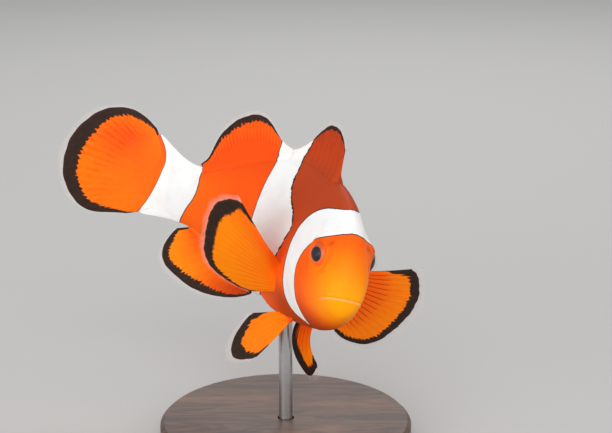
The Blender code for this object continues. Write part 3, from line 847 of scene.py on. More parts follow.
def fin_half(fin, u, v, reach, from_edge, ray_rise):
    """Half a fin's thickness: it thins from root to rim and rounds off at its free edge, flares where
    it leaves the body, and is thicker along its rays."""
    rays = ray_profile(fin["rays"] * u, v) * rise(-0.05, 0.15, v)
    thick, flare = fin["root"]
    edge, rounded = FIN_ROUNDING
    half = blend(thick, FIN_RIM, rise(0, 0.8, v)) * MM
    half = half + flare * MM * hump(reach + FLARE_DEPTH * MM, FLARE_WIDTH * MM)
    half = half + rays * ray_rise / STANDARD_LENGTH
    return half * blend(edge, 1.0, np.sqrt(rise(0, rounded, from_edge)))


def blade_around(name, middle):
    """Where a fin's place counts in degrees round the body, for the bands that cross its root."""
    share, _, height = np.moveaxis(middle, -1, 0)
    if "dorsal" in name:
        above = height - body_size(share, 1)
        return FOOT_ROUND * rise(FOOT_HEIGHT * MM, 0, above) - np.maximum(above, 0) / GIRTH
    if name == "anal":
        return np.full(share.shape, 180.0)
    return np.degrees(np.arccos(np.clip(height / 0.095, -1, 1)))


def fin_grid(fin):
    """A fin's rays and rows as a grid of places on its blade.

    The rim wanders a little, by a sum of two waves, and is rounded off at its two corners.
    """
    u = np.linspace(0, 1, fin["rays"] * fin["columns"] + 1)[:, None]
    waves = 1 + 0.6 * np.sin(2.7 * fin["rays"] * u) + 0.4 * np.sin(6.1 * fin["rays"] * u + 1)
    cut, wide = CORNER_CUT
    end = fin["end"] - RIM_WANDER * waves - cut * (hump(u, wide) + hump(1 - u, wide))
    v = blend(fin["start"], end, np.linspace(0, 1, fin["rows"]))
    return u + 0 * v, v


def add_fin(patches, name, fin, left, ray_rise):
    """A fin with its markings; its box on the map starts at the left.

    Its margin is black inside its width from the free edge, and a narrow margin's edge is sharpened.
    """
    u, v = fin_grid(fin)
    middle, across, reach = fin_middle(fin, u, v)
    from_edge, way_round = free_edge(middle, reach)
    margin = along(fin["margin"], way_round)
    near_root, near_rim = fin["streaks"]
    vein = near_rim * rise(0.30, 0.60, v) * rise(0.95, 0.80, v)
    if name == "tail":
        vein = vein * blend(0.40, 1.3, hump(u - 0.33, 0.25))
    black = margin - 0.25 * rise(0.25, 0, margin) - from_edge
    values = flesh_values(
        middle[..., 0], blade_around(name, middle), middle[..., 2],
        tone=blade_tone(name, fin, middle, u, v, reach),
        # Painted shadow that the pectoral fin casts on the anal fin's front.
        shade=0.65 * (name == "anal") * rise(0.60, 0.15, u) * rise(0.15, 0.5, v),
        black=black * blend(5, 1, rise(0.1, 0.9, margin)),
        ray=fin["rays"] * u,
        tooth=fin["teeth"] * fin["rays"] * u,
        streak=near_root * rise(0.02, 0.12, v) * rise(0.62, 0.50, v),
        vein=vein,
        blade=rise(0, 1.5, reach / MM),
    )
    values["white"] = blend(NO_MARK, values["white"], fin["bands"](u, reach / MM))
    offset = across * fin_half(fin, u, v, reach, from_edge, ray_rise)[..., None]
    right = left + fin["map_width"] - MAP_GAP
    add_blade(patches, u, middle, offset, values,
              [(left, bottom, right, top) for bottom, top in FIN_BOXES])


def add_blade(patches, u, middle, offset, values, boxes):
    """A blade's two faces, each its middle points moved one way or the other by an offset, and the
    narrow strip that joins them round its edge. The boxes are the places of the three on the map."""
    outward = np.sum(np.cross(np.gradient(middle, axis=1), np.gradient(middle, axis=0)) * offset) > 0
    places = grid_map(u[:, 0], np.linspace(0, 1, u.shape[1]))
    for face, box in zip((1, -1), boxes):
        order = slice(None, None, -1 if (face > 0) != outward else 1)
        patches.add(middle + face * offset, grid_quads(*u.shape)[:, order], values,
                    set_in(places, box)[:, order])
    add_rim(patches, u.shape, outward, boxes[2])


def add_rim(patches, shape, outward, box):
    """Joins the two faces added last round the edge of their grids."""
    rows, columns = shape
    size = rows * columns
    near = patches.count - 2 * size
    grid = np.arange(size).reshape(shape)
    border = np.concatenate([grid[:-1, 0], grid[-1, :-1], grid[:0:-1, -1], grid[0, :0:-1]])
    after = np.roll(border, -1)
    quads = near + np.stack([border, border + size, after + size, after], -1)
    step = np.linspace(0, 1, len(border) + 1)
    places = set_in(grid_map(step, np.array([0.0, 1.0])), box)
    patches.join(quads if outward else quads[:, ::-1], places if outward else places[:, ::-1])


def blade_tone(name, fin, middle, u, v, reach):
    """A fin's tone: the body's at its root, then the fin's own from root to rim, with a darker patch
    where the fin has one."""
    share, _, height = np.moveaxis(middle, -1, 0)
    around = np.clip(blade_around(name, middle), 0, 180)
    root = body_tone(share, around, height)
    own = along(fin["tones"], np.clip(v / fin["end"], 0, 1))
    root_start, root_end = 0.0, 0.035
    if name == "pectoral_right":
        own = own - 0.16 * rise(0.35, 0.0, u)
        farther = 0.060 * rise(0.30, 0.0, u)
        root_start, root_end = 0.25 * farther, root_end + farther
    elif name == "pelvic_right":
        root_end = 0.012
    elif name == "tail":
        own = own - 0.20 * hump(u - 0.30, 0.14) * hump(v - 0.52, 0.20)
    elif name == "anal":
        # Darker and redder at the anal fin's front: partly its own colour, partly painted shadow under
        # the pectoral fin.
        own = own - 0.36 * rise(0.60, 0.10, u) * rise(0.2, 0.6, v)
    return blend(root, own, rise(root_start, root_end, reach))


# ---------------------------------------------------------------- the fins' clear edge
FRINGE_ROWS = 9                 # fineness of its grid: rows out, and columns for each ray
FRINGE_COLUMNS = 8


def add_fringe(patches, fin, bottom, thickness):
    """A fin's clear edge: a thin film that starts inside the blade's rim and ends in fine tips.

    Its outer end is at the rays' ends where a fine ray end lies, and one to three hundredths short of
    them between, by a sum of two waves.
    """
    count = fin["rays"] * FRINGE_COLUMNS + 1
    u, t = np.meshgrid(np.linspace(0, 1, count), np.linspace(0, 1, FRINGE_ROWS), indexing="ij")
    phase = fin["rays"] * u
    short = 0.006 * (1 - np.cos(4 * pi * phase)) + 0.008 * (1 + np.sin(2.3 * phase))
    v = blend(fin["end"] - FRINGE_LAP, fin["film"] - short, t)
    middle, across, _ = fin_middle(fin, u, v)
    half = blend(0.5, 0.3, t) * thickness / STANDARD_LENGTH
    boxes = [(0.005, bottom + low, 0.995, bottom + high) for low, high in FRINGE_BOXES]
    add_blade(patches, u, middle, across * half[..., None], {"ray": phase, "out": t}, boxes)


# ---------------------------------------------------------------- eyes
EYE_RADIUS = 0.034              # of the cornea's dome
EYE_COLUMNS = 96
# Rings of the eyeball, from the middle of the pupil round to its back: distance from the eye's axis,
# and distance along it. The pupil domes out of the iris, which is a shallow cone.
EYEBALL = ((0.0035, 0.0272), (0.0070, 0.0268), (0.0105, 0.0261), (0.0145, 0.0248), (0.0175, 0.0234),
           (0.0190, 0.0226), (0.0197, 0.0228), (0.0205, 0.0229), (0.0215, 0.0225), (0.0228, 0.0218),
           (0.0245, 0.0209), (0.0265, 0.0197), (0.0285, 0.0182), (0.0300, 0.0160), (0.0315, 0.0120),
           (0.0332, 0.0060), (0.0337, 0.0), (0.0325, -0.0090), (0.0270, -0.0200), (0.0170, -0.0290),
           (0.0070, -0.0330))
CORNEA_EDGE = 62.0              # degrees from its middle to its edge
CORNEA_WALL = 0.0007


def cornea_rings():
    """Rings of a thin dome, from its middle out, round its edge and back inside to its middle."""
    turn = np.radians(np.linspace(4, CORNEA_EDGE, 15))
    outer = np.stack([np.sin(turn), np.cos(turn)], -1)
    return np.vstack([outer * EYE_RADIUS, outer[::-1] * (EYE_RADIUS - CORNEA_WALL)])


def add_turned(patches, side, rings, ends):
    """A shape turned about an eye's axis: its rings, and its two ends on the axis.

    A ring's points are the eye's centre, plus its distance along the axis, plus its radius times the
    cosine and sine of the turn along two directions square to the axis.
    """
    rings = np.asarray(rings)
    look = radians(EYE_LOOK)
    centre = np.array([EYE_SHARE, side * EYE_SIDE, EYE_HEIGHT])
    axis = np.array([-cos(look), side * sin(look), 0])
    level = np.array([side * sin(look), cos(look), 0])
    turn = np.linspace(0, 2 * pi, EYE_COLUMNS, endpoint=False)
    radius, along_axis = rings[:, :1, None], rings[:, 1:, None]
    wheel = np.cos(turn)[:, None] * level + np.sin(turn)[:, None] * np.array([0, 0, 1.0])
    points = centre + along_axis * axis + radius * wheel
    tips = centre + np.array(ends)[:, None] * axis
    turns = np.broadcast_to(np.arctan2(np.sin(turn), np.cos(turn)), (len(rings), EYE_COLUMNS))
    values = {"radius": np.repeat(rings[:, 0] / ORBIT_RADIUS, EYE_COLUMNS), "turn": turns.reshape(-1)}
    values = {key: np.append(value, [0.0, 0.0]) for key, value in values.items()}
    quads, places = capped_quads(len(rings), EYE_COLUMNS), capped_map(len(rings), EYE_COLUMNS, 0.03)
    if np.dot(np.cross(axis, level), [0, 0, 1]) <= 0:
        quads, places = turned_over(quads, places)
    patches.add(np.vstack([points.reshape(-1, 3), tips]), quads, values, places)


def turned_over(quads, places):
    """The same faces, facing the other way; a triangle still ends in the same point twice."""
    single = quads[:, 2] == quads[:, 3]
    order = np.where(single[:, None], [0, 2, 1, 1], [3, 2, 1, 0])
    rows = np.arange(len(quads))[:, None]
    return quads[rows, order], places[rows, order]


# ---------------------------------------------------------------- scales
COAT_START = 0.10               # share where the first column of scales could lie
COAT_END = 1.0
COAT_RINGS = 320                # fineness of the surface that the scales are laid on
COAT_COLUMNS = 720
COAT_REACH = 135                # degrees round from the flank's middle that one side's table covers
# A scale's outline from its sunk front round to its free rear edge: behind and across its middle, as
# shares of the scales' spacing, and how far up its slope; one side lies under its neighbour's
SCALE = np.array((
    (-0.62, -0.50, 0.0), (0.10, -0.68, 0.35), (0.58, -0.54, 0.75), (0.82, -0.20, 0.95),
    (0.82, 0.20, 1.05), (0.58, 0.54, 1.05), (0.10, 0.68, 0.75), (-0.62, 0.50, 0.1),
))
SCALE_MIDDLE = (0.12, 0.0, 0.72)        # the raised point in its middle
SCALE_LENGTH = 0.8                      # how far behind its middle its outline reaches, about
SCALE_SINK = 0.000025                   # how far its front lies under the coat's surface, in metres
SCALE_THICKNESS = 0.00003
SCALE_STEP = 0.18                       # how much a wide band edge steps from scale to scale
SCALE_ROWS = 40                         # rows of scales counted each way from the flank's middle
COAT_HELD = 0.35                        # the least share of the coat at which a scale is kept
PATCH = 0.0015                          # half the width of a scale's patch on its map


class Coat:
    """The surface that scales lie on: its points and outward normals by share and by distance round
    from the middle of the left flank."""

    def __init__(self):
        self.shares = np.linspace(COAT_START - 0.03, COAT_END + 0.03, COAT_RINGS)
        angle = np.linspace(0, 2 * pi, COAT_COLUMNS, endpoint=False)[None, :]
        points = body_skin(self.shares[:, None], angle, depth=0)
        normal = normals(points, wrap=True)
        reach = round(COAT_REACH * COAT_COLUMNS / 360)
        chosen = np.arange(-reach, reach + 1)
        self.angles = chosen * 2 * pi / COAT_COLUMNS
        self.points = points[:, chosen]
        self.normals = normal[:, chosen]
        steps = np.linalg.norm(np.diff(self.points, axis=1), axis=-1)
        run = np.hstack([0 * steps[:, :1], np.cumsum(steps, axis=1)])
        self.runs = run - run[:, reach:reach + 1]

    def column(self, row, run):
        """The fractional column of the table at a distance round on a row: how many of the row's runs
        are less, plus the share of the way to the next."""
        low = np.clip((self.runs[row] < run[..., None]).sum(-1) - 1, 0, len(self.angles) - 2)
        before, after = self.runs[row, low], self.runs[row, low + 1]
        return low + np.clip((run - before) / (after - before), 0, 1)

    def at(self, share, run):
        """Point, outward normal and angle at places given by share and distance round, each blended
        from the four nearest in the tables."""
        place = (share - self.shares[0]) / (self.shares[1] - self.shares[0])
        row = np.clip(place.astype(int), 0, COAT_RINGS - 2)
        across_row = (place - row)[..., None]
        found = []
        for table in (self.points, self.normals, self.angles[None, :, None]):
            sides = []
            for number in (row, row + 1):
                column = self.column(number, run)
                low = np.clip(column.astype(int), 0, len(self.angles) - 2)
                line = number if len(table) > 1 else 0
                sides.append(blend(table[line, low], table[line, low + 1], (column - low)[..., None]))
            found.append(blend(sides[0], sides[1], across_row))
        point, normal, angle = found
        return point, normal, angle[..., 0]


def scale_places(coat, spacing):
    """Share and distance round of each scale on one side: columns a spacing apart, rows likewise,
    every other column half a row up, kept where the coat covers the skin and short of the ridges."""
    columns = np.arange(COAT_START, COAT_END, spacing)
    rows = np.arange(-SCALE_ROWS, SCALE_ROWS + 1)
    number, row = np.meshgrid(np.arange(len(columns)), rows, indexing="ij")
    share = columns[number]
    run = (row + 0.5 * (number % 2)) * spacing
    _, _, angle = coat.at(share, run)
    covered = coat_share(share, around_body(angle)) > COAT_HELD
    inside = covered & (np.abs(angle) < pi / 2 - 0.02)
    return share[inside], run[inside]


def add_scales(patches, side, spacing, lift):
    """One side's scales: each a thin plate with its outline round a raised middle, closed below.

    A plate lies along the body's surface, its front sunk and its free edge standing up, and sinks into
    the skin where the coat ends. Where a band's line is wide, its markings are partly those of its
    middle, so that the band ends in small steps.
    """
    coat = Coat()
    share, run = scale_places(coat, spacing)
    shape = np.vstack([SCALE, SCALE_MIDDLE])
    back, across, slope = shape.T
    point, normal, angle = coat.at(share[:, None] + back * spacing, run[:, None] + across * spacing)
    around = around_body(angle)
    sunk = 1.8 * COAT_DEPTH * (1 - coat_share(share[:, None] + back * spacing, around))
    height = (-SCALE_SINK + (SCALE_SINK + lift) * slope) / STANDARD_LENGTH - sunk
    top = point + height[..., None] * normal
    points = np.stack([top, top - normal * SCALE_THICKNESS / STANDARD_LENGTH], 1)
    # Painted shade: the face's, and a little more along part of each scale's raised free edge, where it
    # stands over its neighbour.
    shade = np.clip(painted_face_shade(point[..., 0], point[..., 2]) + 0.02 * (slope > 1.0), 0, 1)
    values = flesh_values(point[..., 0], around, point[..., 2], shade=shade)
    stepped = SCALE_STEP * rise(0.15, 0.30, values["line"])
    values["white"] = blend(values["white"], values["white"][:, -1:], stepped)
    values = {key: np.repeat(value[:, None], 2, axis=1).reshape(-1) for key, value in values.items()}

    corners, layer = len(SCALE), len(shape)
    rim = np.arange(corners)
    after = (rim + 1) % corners
    middle = np.full(corners, corners)
    plate = np.vstack([np.stack([middle, rim, after, after], -1),
                       np.stack([middle, after, rim, rim], -1) + layer,
                       np.stack([rim, rim + layer, after + layer, after], -1)])
    quads = (np.arange(len(share))[:, None, None] * 2 * layer + plate).reshape(-1, 4)
    spot = shape[:, :2] * PATCH / SCALE_LENGTH
    on_map = np.vstack([0.75 * spot, 0.75 * spot + [0, 2.4 * PATCH]])[plate]
    skirt = slice(2 * corners, None)
    on_map[skirt, [1, 2]] = spot[plate[skirt, [0, 3]]]
    root = np.stack([0.02 + 0.95 * (share - COAT_START), 0.5 + 0.47 * run / coat.runs.max()], -1)
    places = (root[:, None, None] + on_map).reshape(-1, 4, 2)
    if side < 0:
        points = points * [1, -1, 1]
        quads, places = turned_over(quads, places)
    patches.add(points.reshape(-1, 3), quads, values, places)


# ---------------------------------------------------------------- materials
class Nodes:
    """A material's node tree, with short ways to add and join its nodes."""

    def __init__(self, name):
        found = bpy.data.materials.get(name)
        self.material = found or bpy.data.materials.new(name)
        self.material.use_nodes = True
        self.tree = self.material.node_tree
        self.shader = self.tree.nodes["Principled BSDF"]
        self.place = self.add("ShaderNodeTexCoord").outputs["Object"]

    def add(self, kind, **settings):
        """A node of a kind, with settings by name."""
        node = self.tree.nodes.new(kind)
        for key, value in settings.items():
            setattr(node, key, value)
        return node

    def put(self, socket, value):
        """Links a socket to an output, or gives it a plain value."""
        if isinstance(value, bpy.types.NodeSocket):
            self.tree.links.new(value, socket)
        elif socket.type == "RGBA":
            socket.default_value = (*value[:3], 1)
        else:
            socket.default_value = value

    def math(self, operation, *values, clamp=False):
        """A number worked out from one to three others."""
        node = self.add("ShaderNodeMath", operation=operation, use_clamp=clamp)
        for socket, value in zip(node.inputs, values):
            self.put(socket, value)
        return node.outputs[0]

    def times(self, *values):
        """A product of numbers."""
        product = values[0]
        for value in values[1:]:
            product = self.math("MULTIPLY", product, value)
        return product

    def wave(self, phase, turns):
        """A cosine that comes round so many times while the phase grows by 1."""
        return self.math("COSINE", self.times(phase, 2 * pi * turns))

    def pair(self, x, y):
        """A place from two numbers."""
        node = self.add("ShaderNodeCombineXYZ")
        self.put(node.inputs[0], x)
        self.put(node.inputs[1], y)
        return node.outputs[0]

    def mix(self, weight, first, second, mode="MIX"):
        """A colour that goes from the first to the second with the weight."""
        node = self.add("ShaderNodeMix", data_type="RGBA", blend_type=mode)
        self.put(node.inputs[0], weight)
        self.put(node.inputs[6], first)
        self.put(node.inputs[7], second)
        return node.outputs[2]

    def tint(self, weight, colour, by):
        """A colour that goes towards its product with another with the weight."""
        return self.mix(weight, colour, self.mix(1.0, colour, by, "MULTIPLY"))

    def around(self, value, noise, amount):
        """A value raised or lowered by noise, by up to half an amount each way."""
        offset = self.math("MULTIPLY_ADD", noise, amount, -amount / 2)
        return self.math("ADD", value, offset)

    def stretched(self, *scale):
        """Object coordinates, each multiplied by a number; below 1 draws a pattern out."""
        node = self.add("ShaderNodeMapping")
        self.put(node.inputs["Vector"], self.place)
        self.put(node.inputs["Scale"], Vector(scale))
        return node.outputs[0]

    def noise(self, size, detail=2.0, place=None, roughness=0.5, distortion=0.0, dimensions="3D"):
        """Noise whose blotches are about a size across, in metres."""
        node = self.add("ShaderNodeTexNoise", noise_dimensions=dimensions)
        self.put(node.inputs["Vector"], place or self.place)
        self.put(node.inputs["Scale"], 1 / size)
        self.put(node.inputs["Detail"], detail)
        self.put(node.inputs["Roughness"], roughness)
        self.put(node.inputs["Distortion"], distortion)
        return node.outputs["Fac"]

    def step(self, value, low, high):
        """A smooth step from 0 at low to 1 at high."""
        node = self.add("ShaderNodeMapRange", interpolation_type="SMOOTHSTEP")
        for socket, number in zip(node.inputs, (value, low, high, 0.0, 1.0)):
            self.put(socket, number)
        return node.outputs[0]

    def attribute(self, name):
        """A value stored in the mesh."""
        return self.add("ShaderNodeAttribute", attribute_name=name).outputs["Fac"]

    def ramp(self, value, stops):
        """A colour read off a ramp of (place, colour) stops."""
        node = self.add("ShaderNodeValToRGB")
        node.color_ramp.interpolation = "LINEAR"
        elements = node.color_ramp.elements
        while len(elements) < len(stops):
            elements.new(1.0)
        for element, (at, shade) in zip(elements, stops):
            element.position = at
            element.color = (*shade[:3], 1)
        self.put(node.inputs[0], value)
        return node.outputs[0]

    def bump(self, height, strength, distance, under=None):
        """A normal from a height, laid over another normal."""
        node = self.add("ShaderNodeBump")
        self.put(node.inputs["Strength"], strength)
        self.put(node.inputs["Distance"], distance)
        self.put(node.inputs["Height"], height)
        if under:
            self.put(node.inputs["Normal"], under)
        return node.outputs[0]

    def finish(self, **values):
        """Sets the shader's sockets by name, with _ for a space."""
        for key, value in values.items():
            self.put(self.shader.inputs[key.replace("_", " ")], value)
        return self.material


def scaled(colour, *shares):
    """A colour with each of its three parts multiplied by its own share, or all by one."""
    return tuple(part * share for part, share in zip(colour, shares * 3))


def settings():
    """The scene's colours and sizes."""
    scene = bpy.context.scene
    return scene.clownfish_colours, scene.clownfish_sizes


def flesh_colour(nodes, colours, fine):
    """Colour of flesh from the mesh's values: tone, rays, painted shade, and the lips' own tint with a
    painted highlight.
    """
    tone = nodes.around(nodes.attribute("tone"), nodes.noise(0.0060, 3.0), 0.10)
    colour = nodes.ramp(nodes.around(tone, fine, 0.06), (
        (0.00, colours.umber), (0.22, colours.rust), (0.46, colours.vermilion),
        (0.62, colours.orange), (0.82, colours.amber), (1.00, colours.gold),
    ))
    phase = nodes.attribute("ray")
    uneven = nodes.step(nodes.noise(0.0022, 2.0), 0.25, 0.75)
    split = nodes.step(nodes.wave(phase, 2), 0.30, -0.9)
    vein = nodes.times(nodes.attribute("vein"), split, uneven, 0.75)
    ray = nodes.times(nodes.attribute("streak"), nodes.step(nodes.wave(phase, 1), 0.62, 0.98), 0.80)
    colour = nodes.tint(vein, colour, (0.72, 0.40, 0.40))
    colour = nodes.tint(ray, colour, (0.40, 0.26, 0.30))
    # Painted shade: darkens the colour by the mesh's shade value.
    colour = nodes.tint(nodes.times(nodes.attribute("shade"), 0.9), colour, (0.45, 0.36, 0.40))
    patchy = nodes.step(nodes.noise(0.0024, 2.0), 0.0, 0.9)
    # The lower lip's edge: its own pinkish tint, with a painted highlight.
    return nodes.mix(nodes.times(nodes.attribute("lip"), patchy, 0.95), colour, (0.95, 0.42, 0.20))


def margin_over(nodes, colours, colour):
    """Lays a fin's black margin over a colour. Its inner edge has teeth, some at each ray, and is
    frayed by noise drawn out along the rays."""
    tooth, depth = nodes.attribute("tooth"), nodes.attribute("black")
    teeth = nodes.math("POWER", nodes.math("PINGPONG", nodes.times(tooth, 2.0), 1.0), 1.6)
    along_ray = nodes.pair(nodes.times(tooth, 1.3), nodes.times(depth, 0.35))
    fray = nodes.noise(1.0, 3.0, along_ray, roughness=0.7)
    margin = nodes.around(nodes.math("MULTIPLY_ADD", teeth, -0.34, depth), fray, 2.4)
    black = nodes.mix(nodes.noise(0.0008, 3.0), colours.black, scaled(colours.black, 2.4))
    return nodes.mix(nodes.step(margin, -0.29, -0.15), colour, black)


def bands_over(nodes, colours, colour, fine):
    """Lays the white bands over a colour. A band's edge wanders with noise, more where its black line
    is wide, and the line runs just outside it."""
    line = nodes.attribute("line")
    wander = nodes.math("SUBTRACT", nodes.noise(0.0008, 1.0), 0.5)
    edge = nodes.around(nodes.attribute("white"), fine, 0.07)
    edge = nodes.math("MULTIPLY_ADD", nodes.times(line, line, wander), 4.5, edge)
    outer = nodes.math("ADD", edge, line)
    colour = nodes.mix(nodes.step(outer, -0.08, 0.03), colour, colours.black)
    milk = nodes.mix(nodes.step(nodes.noise(0.0035, 3.0), 0.35, 0.75), colours.white,
                     scaled(colours.white, 0.95, 0.93, 0.92))
    return nodes.mix(nodes.step(edge, -0.03, 0.07), colour, milk)


def flesh_material(name):
    """Satin skin: coloured by its markings, a little translucent, with a fine grain; the body has a
    thin coat of slime that the fins' blades lack."""
    nodes = Nodes(name)
    colours = settings()[0]
    fine = nodes.noise(0.0006, 3.0)
    colour = margin_over(nodes, colours, flesh_colour(nodes, colours, fine))
    grain = nodes.math("MULTIPLY_ADD", fine, 0.8, nodes.noise(0.00022, 2.0))
    slime = nodes.math("MULTIPLY_ADD", nodes.attribute("blade"), -0.04, 0.06)
    return nodes.finish(
        Base_Color=bands_over(nodes, colours, colour, fine),
        Roughness=nodes.around(0.56, nodes.noise(0.0012, 2.0), 0.16),
        Normal=nodes.bump(grain, 0.30, 0.00003),
        Subsurface_Weight=0.08,
        Subsurface_Scale=0.0008,
        Subsurface_Radius=Vector((1.0, 0.30, 0.10)),
        Coat_Weight=slime,
        Coat_Roughness=0.38,
        Specular_IOR_Level=0.08,
    )


def eye_material(name):
    """An eye seen from its front: blue-black pupil, lighter and bluer towards its middle where a soft
    reflection is painted, a thin darker ring, and an iris that fades into the face, with fine fibres,
    dusky above and pinkish at its rim. Its value is the distance from the eye's axis, 1 at the orbit."""
    colours = settings()[0]
    nodes = Nodes(name)
    radius, turn = nodes.attribute("radius"), nodes.attribute("turn")
    along_fibre = nodes.pair(nodes.times(radius, 1.6), nodes.times(turn, 5.0))
    fibre = nodes.noise(1 / 3, place=along_fibre, dimensions="2D")
    iris = nodes.mix(fibre, (0.80, 0.080, 0.006), (0.96, 0.16, 0.010))
    dusk = nodes.step(nodes.math("SINE", turn), 0.35, 1.0)
    iris = nodes.mix(nodes.times(dusk, 0.60), iris, (0.30, 0.045, 0.012))
    iris = nodes.mix(nodes.times(nodes.step(radius, 0.88, 0.97), 0.35), iris, (0.98, 0.18, 0.05))
    ring = nodes.mix(nodes.step(radius, 0.675, 0.72), (0.36, 0.07, 0.014), iris)
    # Painted reflection: the pupil turns lighter and bluer towards its middle.
    pupil_painted_reflection = nodes.mix(nodes.step(radius, 0.45, 0.05), colours.pupil, (0.010, 0.014, 0.028))
    return nodes.finish(
        Base_Color=nodes.mix(nodes.step(radius, 0.635, 0.66), pupil_painted_reflection, ring),
        Roughness=nodes.around(0.34, fibre, 0.2),
        Normal=nodes.bump(fibre, 0.15, 0.00004),
        Specular_IOR_Level=0.30,
    )


def cornea_material(name):
    """Clear as water; where it is seen edge on, more of its pale colour shows, a painted reflection."""
    nodes = Nodes(name)
    facing = nodes.add("ShaderNodeLayerWeight")
    nodes.put(facing.inputs["Blend"], 0.30)
    # Painted reflection: more of the pale colour shows where the dome is seen edge on.
    edge_painted_reflection = nodes.math("POWER", facing.outputs["Facing"], 4.0)
    haze = nodes.around(0.005, nodes.noise(0.0010, 2.0), 0.008)
    return nodes.finish(
        Base_Color=(0.70, 0.72, 0.72),
        Roughness=nodes.around(0.10, nodes.noise(0.0006, 2.0), 0.08),
        Alpha=nodes.math("MULTIPLY_ADD", edge_painted_reflection, 0.42, haze, clamp=True),
        Specular_IOR_Level=0.60,
    )


def fringe_material(name):
    """The fins' clear edge: hardly seen between the fine ends of the rays, thinning outwards."""
    nodes = Nodes(name)
    ray = nodes.attribute("ray")
    patchy = nodes.step(nodes.noise(0.0015, 2.0), 0.2, 0.7)
    ends = nodes.times(nodes.step(nodes.wave(ray, 4), 0.1, 0.95), patchy)
    film = nodes.math("MULTIPLY_ADD", ends, 0.07, 0.19)
    film = nodes.math("MULTIPLY_ADD", nodes.step(ray, 0.30, 0.10), 0.30, film)
    left = nodes.step(nodes.attribute("out"), 1.35, 0.05)
    return nodes.finish(
        Base_Color=settings()[0].clear,
        Roughness=nodes.around(0.40, nodes.noise(0.0008, 2.0), 0.2),
        Alpha=nodes.math("MULTIPLY", film, left, clamp=True),
        Specular_IOR_Level=0.30,
    )


def wood_material(name):
    """Oiled walnut: long figure with darker bands, fine pores and a satin face."""
    nodes = Nodes(name)
    figure = nodes.noise(0.0052, 4.0, nodes.stretched(0.16, 1, 1), distortion=1.2)
    rings = nodes.math("PINGPONG", nodes.times(figure, 14.0), 1.0)
    pores = nodes.noise(0.00035, 2.0, nodes.stretched(0.07, 1, 1))
    brown = settings()[0].wood
    dark = scaled(brown, 0.42)
    colour = nodes.mix(nodes.step(rings, 0.05, 0.95), dark, brown)
    colour = nodes.mix(nodes.step(figure, 0.45, 0.75), colour, scaled(brown, 1.55))
    colour = nodes.mix(nodes.times(nodes.step(pores, 0.56, 0.70), 0.7), colour, dark)
    return nodes.finish(
        Base_Color=colour,
        Roughness=nodes.around(0.42, pores, 0.25),
        Normal=nodes.bump(pores, 0.25, -0.00006),
        Coat_Weight=0.15,
        Coat_Roughness=0.35,
    )


def steel_material(name):
    """Steel brushed round the rod."""
    nodes = Nodes(name)
    lines = nodes.noise(0.00050, 3.0, nodes.stretched(0.25, 0.25, 6))
    smudge = nodes.noise(0.0040, 2.0)
    return nodes.finish(
        Base_Color=nodes.mix(lines, (0.42, 0.42, 0.43), (0.62, 0.61, 0.60)),
        Metallic=1.0,
        Roughness=nodes.around(nodes.around(0.34, lines, 0.16), smudge, 0.10),
        Normal=nodes.bump(lines, 0.20, 0.00002),
    )


# ---------------------------------------------------------------- pieces
class CLOWNFISH_OT_skin(Operator):
    """Builds the one skin over head, body and fins"""

    bl_idname = "clownfish.skin"
    bl_label = "Skin"

    def execute(self, context):
        patches = Patches()
        add_body(patches)
        left = 0.004
        for name, fin in FINS.items():
            add_fin(patches, name, fin, left, context.scene.clownfish_sizes.ray_rise)
            left += fin["map_width"]
        skin = patches.build("fish_skin", flesh_material("flesh"))
        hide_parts("head", "lower_jaw", "gill_cover_left", "gill_cover_right", "trunk",
                    "tail_stalk", "caudal_fin", "dorsal_fin_spiny", "dorsal_fin_soft", "anal_fin",
                    "pectoral_fin_left", "pectoral_fin_right", "pelvic_fin_left", "pelvic_fin_right")
        return {"FINISHED"}


class CLOWNFISH_OT_scales(Operator):
    """Lays a coat of small scales over the trunk and the shoulders"""

    bl_idname = "clownfish.scales"
    bl_label = "Scales"

    def execute(self, context):
        sizes = context.scene.clownfish_sizes
        spacing = sizes.scale_length / STANDARD_LENGTH
        for side, word in ((1, "left"), (-1, "right")):
            patches = Patches()
            add_scales(patches, side, spacing, sizes.scale_rise)
            patches.build(f"scales_{word}", flesh_material("scale"), crease=40)
        return {"FINISHED"}


class CLOWNFISH_OT_fringe(Operator):
    """Adds the clear edge outside the fins' black margins"""

    bl_idname = "clownfish.fringe"
    bl_label = "Clear fin edges"

    def execute(self, context):
        patches = Patches()
        for number, fin in enumerate(FINS.values()):
            bottom = 0.005 + FRINGE_STRIP * number
            add_fringe(patches, fin, bottom, context.scene.clownfish_sizes.fringe)
        patches.build("fin_fringe", fringe_material("clear_edge"))
        return {"FINISHED"}


class CLOWNFISH_OT_eyes(Operator):
    """Sets an eyeball and a clear cornea in each orbit"""

    bl_idname = "clownfish.eyes"
    bl_label = "Eyes"

    def execute(self, context):
        for side, word in ((1, "left"), (-1, "right")):
            ball = Patches()
            add_turned(ball, side, EYEBALL, (0.0273, -0.0337))
            made = ball.build(f"eyeball_{word}", eye_material("eye"))
            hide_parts(f"eye_{word}")
            dome = Patches()
            add_turned(dome, side, cornea_rings(), (EYE_RADIUS, EYE_RADIUS - CORNEA_WALL))
            dome.build(f"cornea_{word}", cornea_material("cornea"))
        return {"FINISHED"}


class CLOWNFISH_OT_stand(Operator):
    """Gives the stand its oiled walnut and brushed steel"""

    bl_idname = "clownfish.stand"
    bl_label = "Stand finishes"

    def execute(self, context):
        for node, material in (("stand_base", wood_material("walnut")),
                               ("stand_rod", steel_material("steel"))):
            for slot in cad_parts[node].material_slots:
                slot.material = material
        return {"FINISHED"}


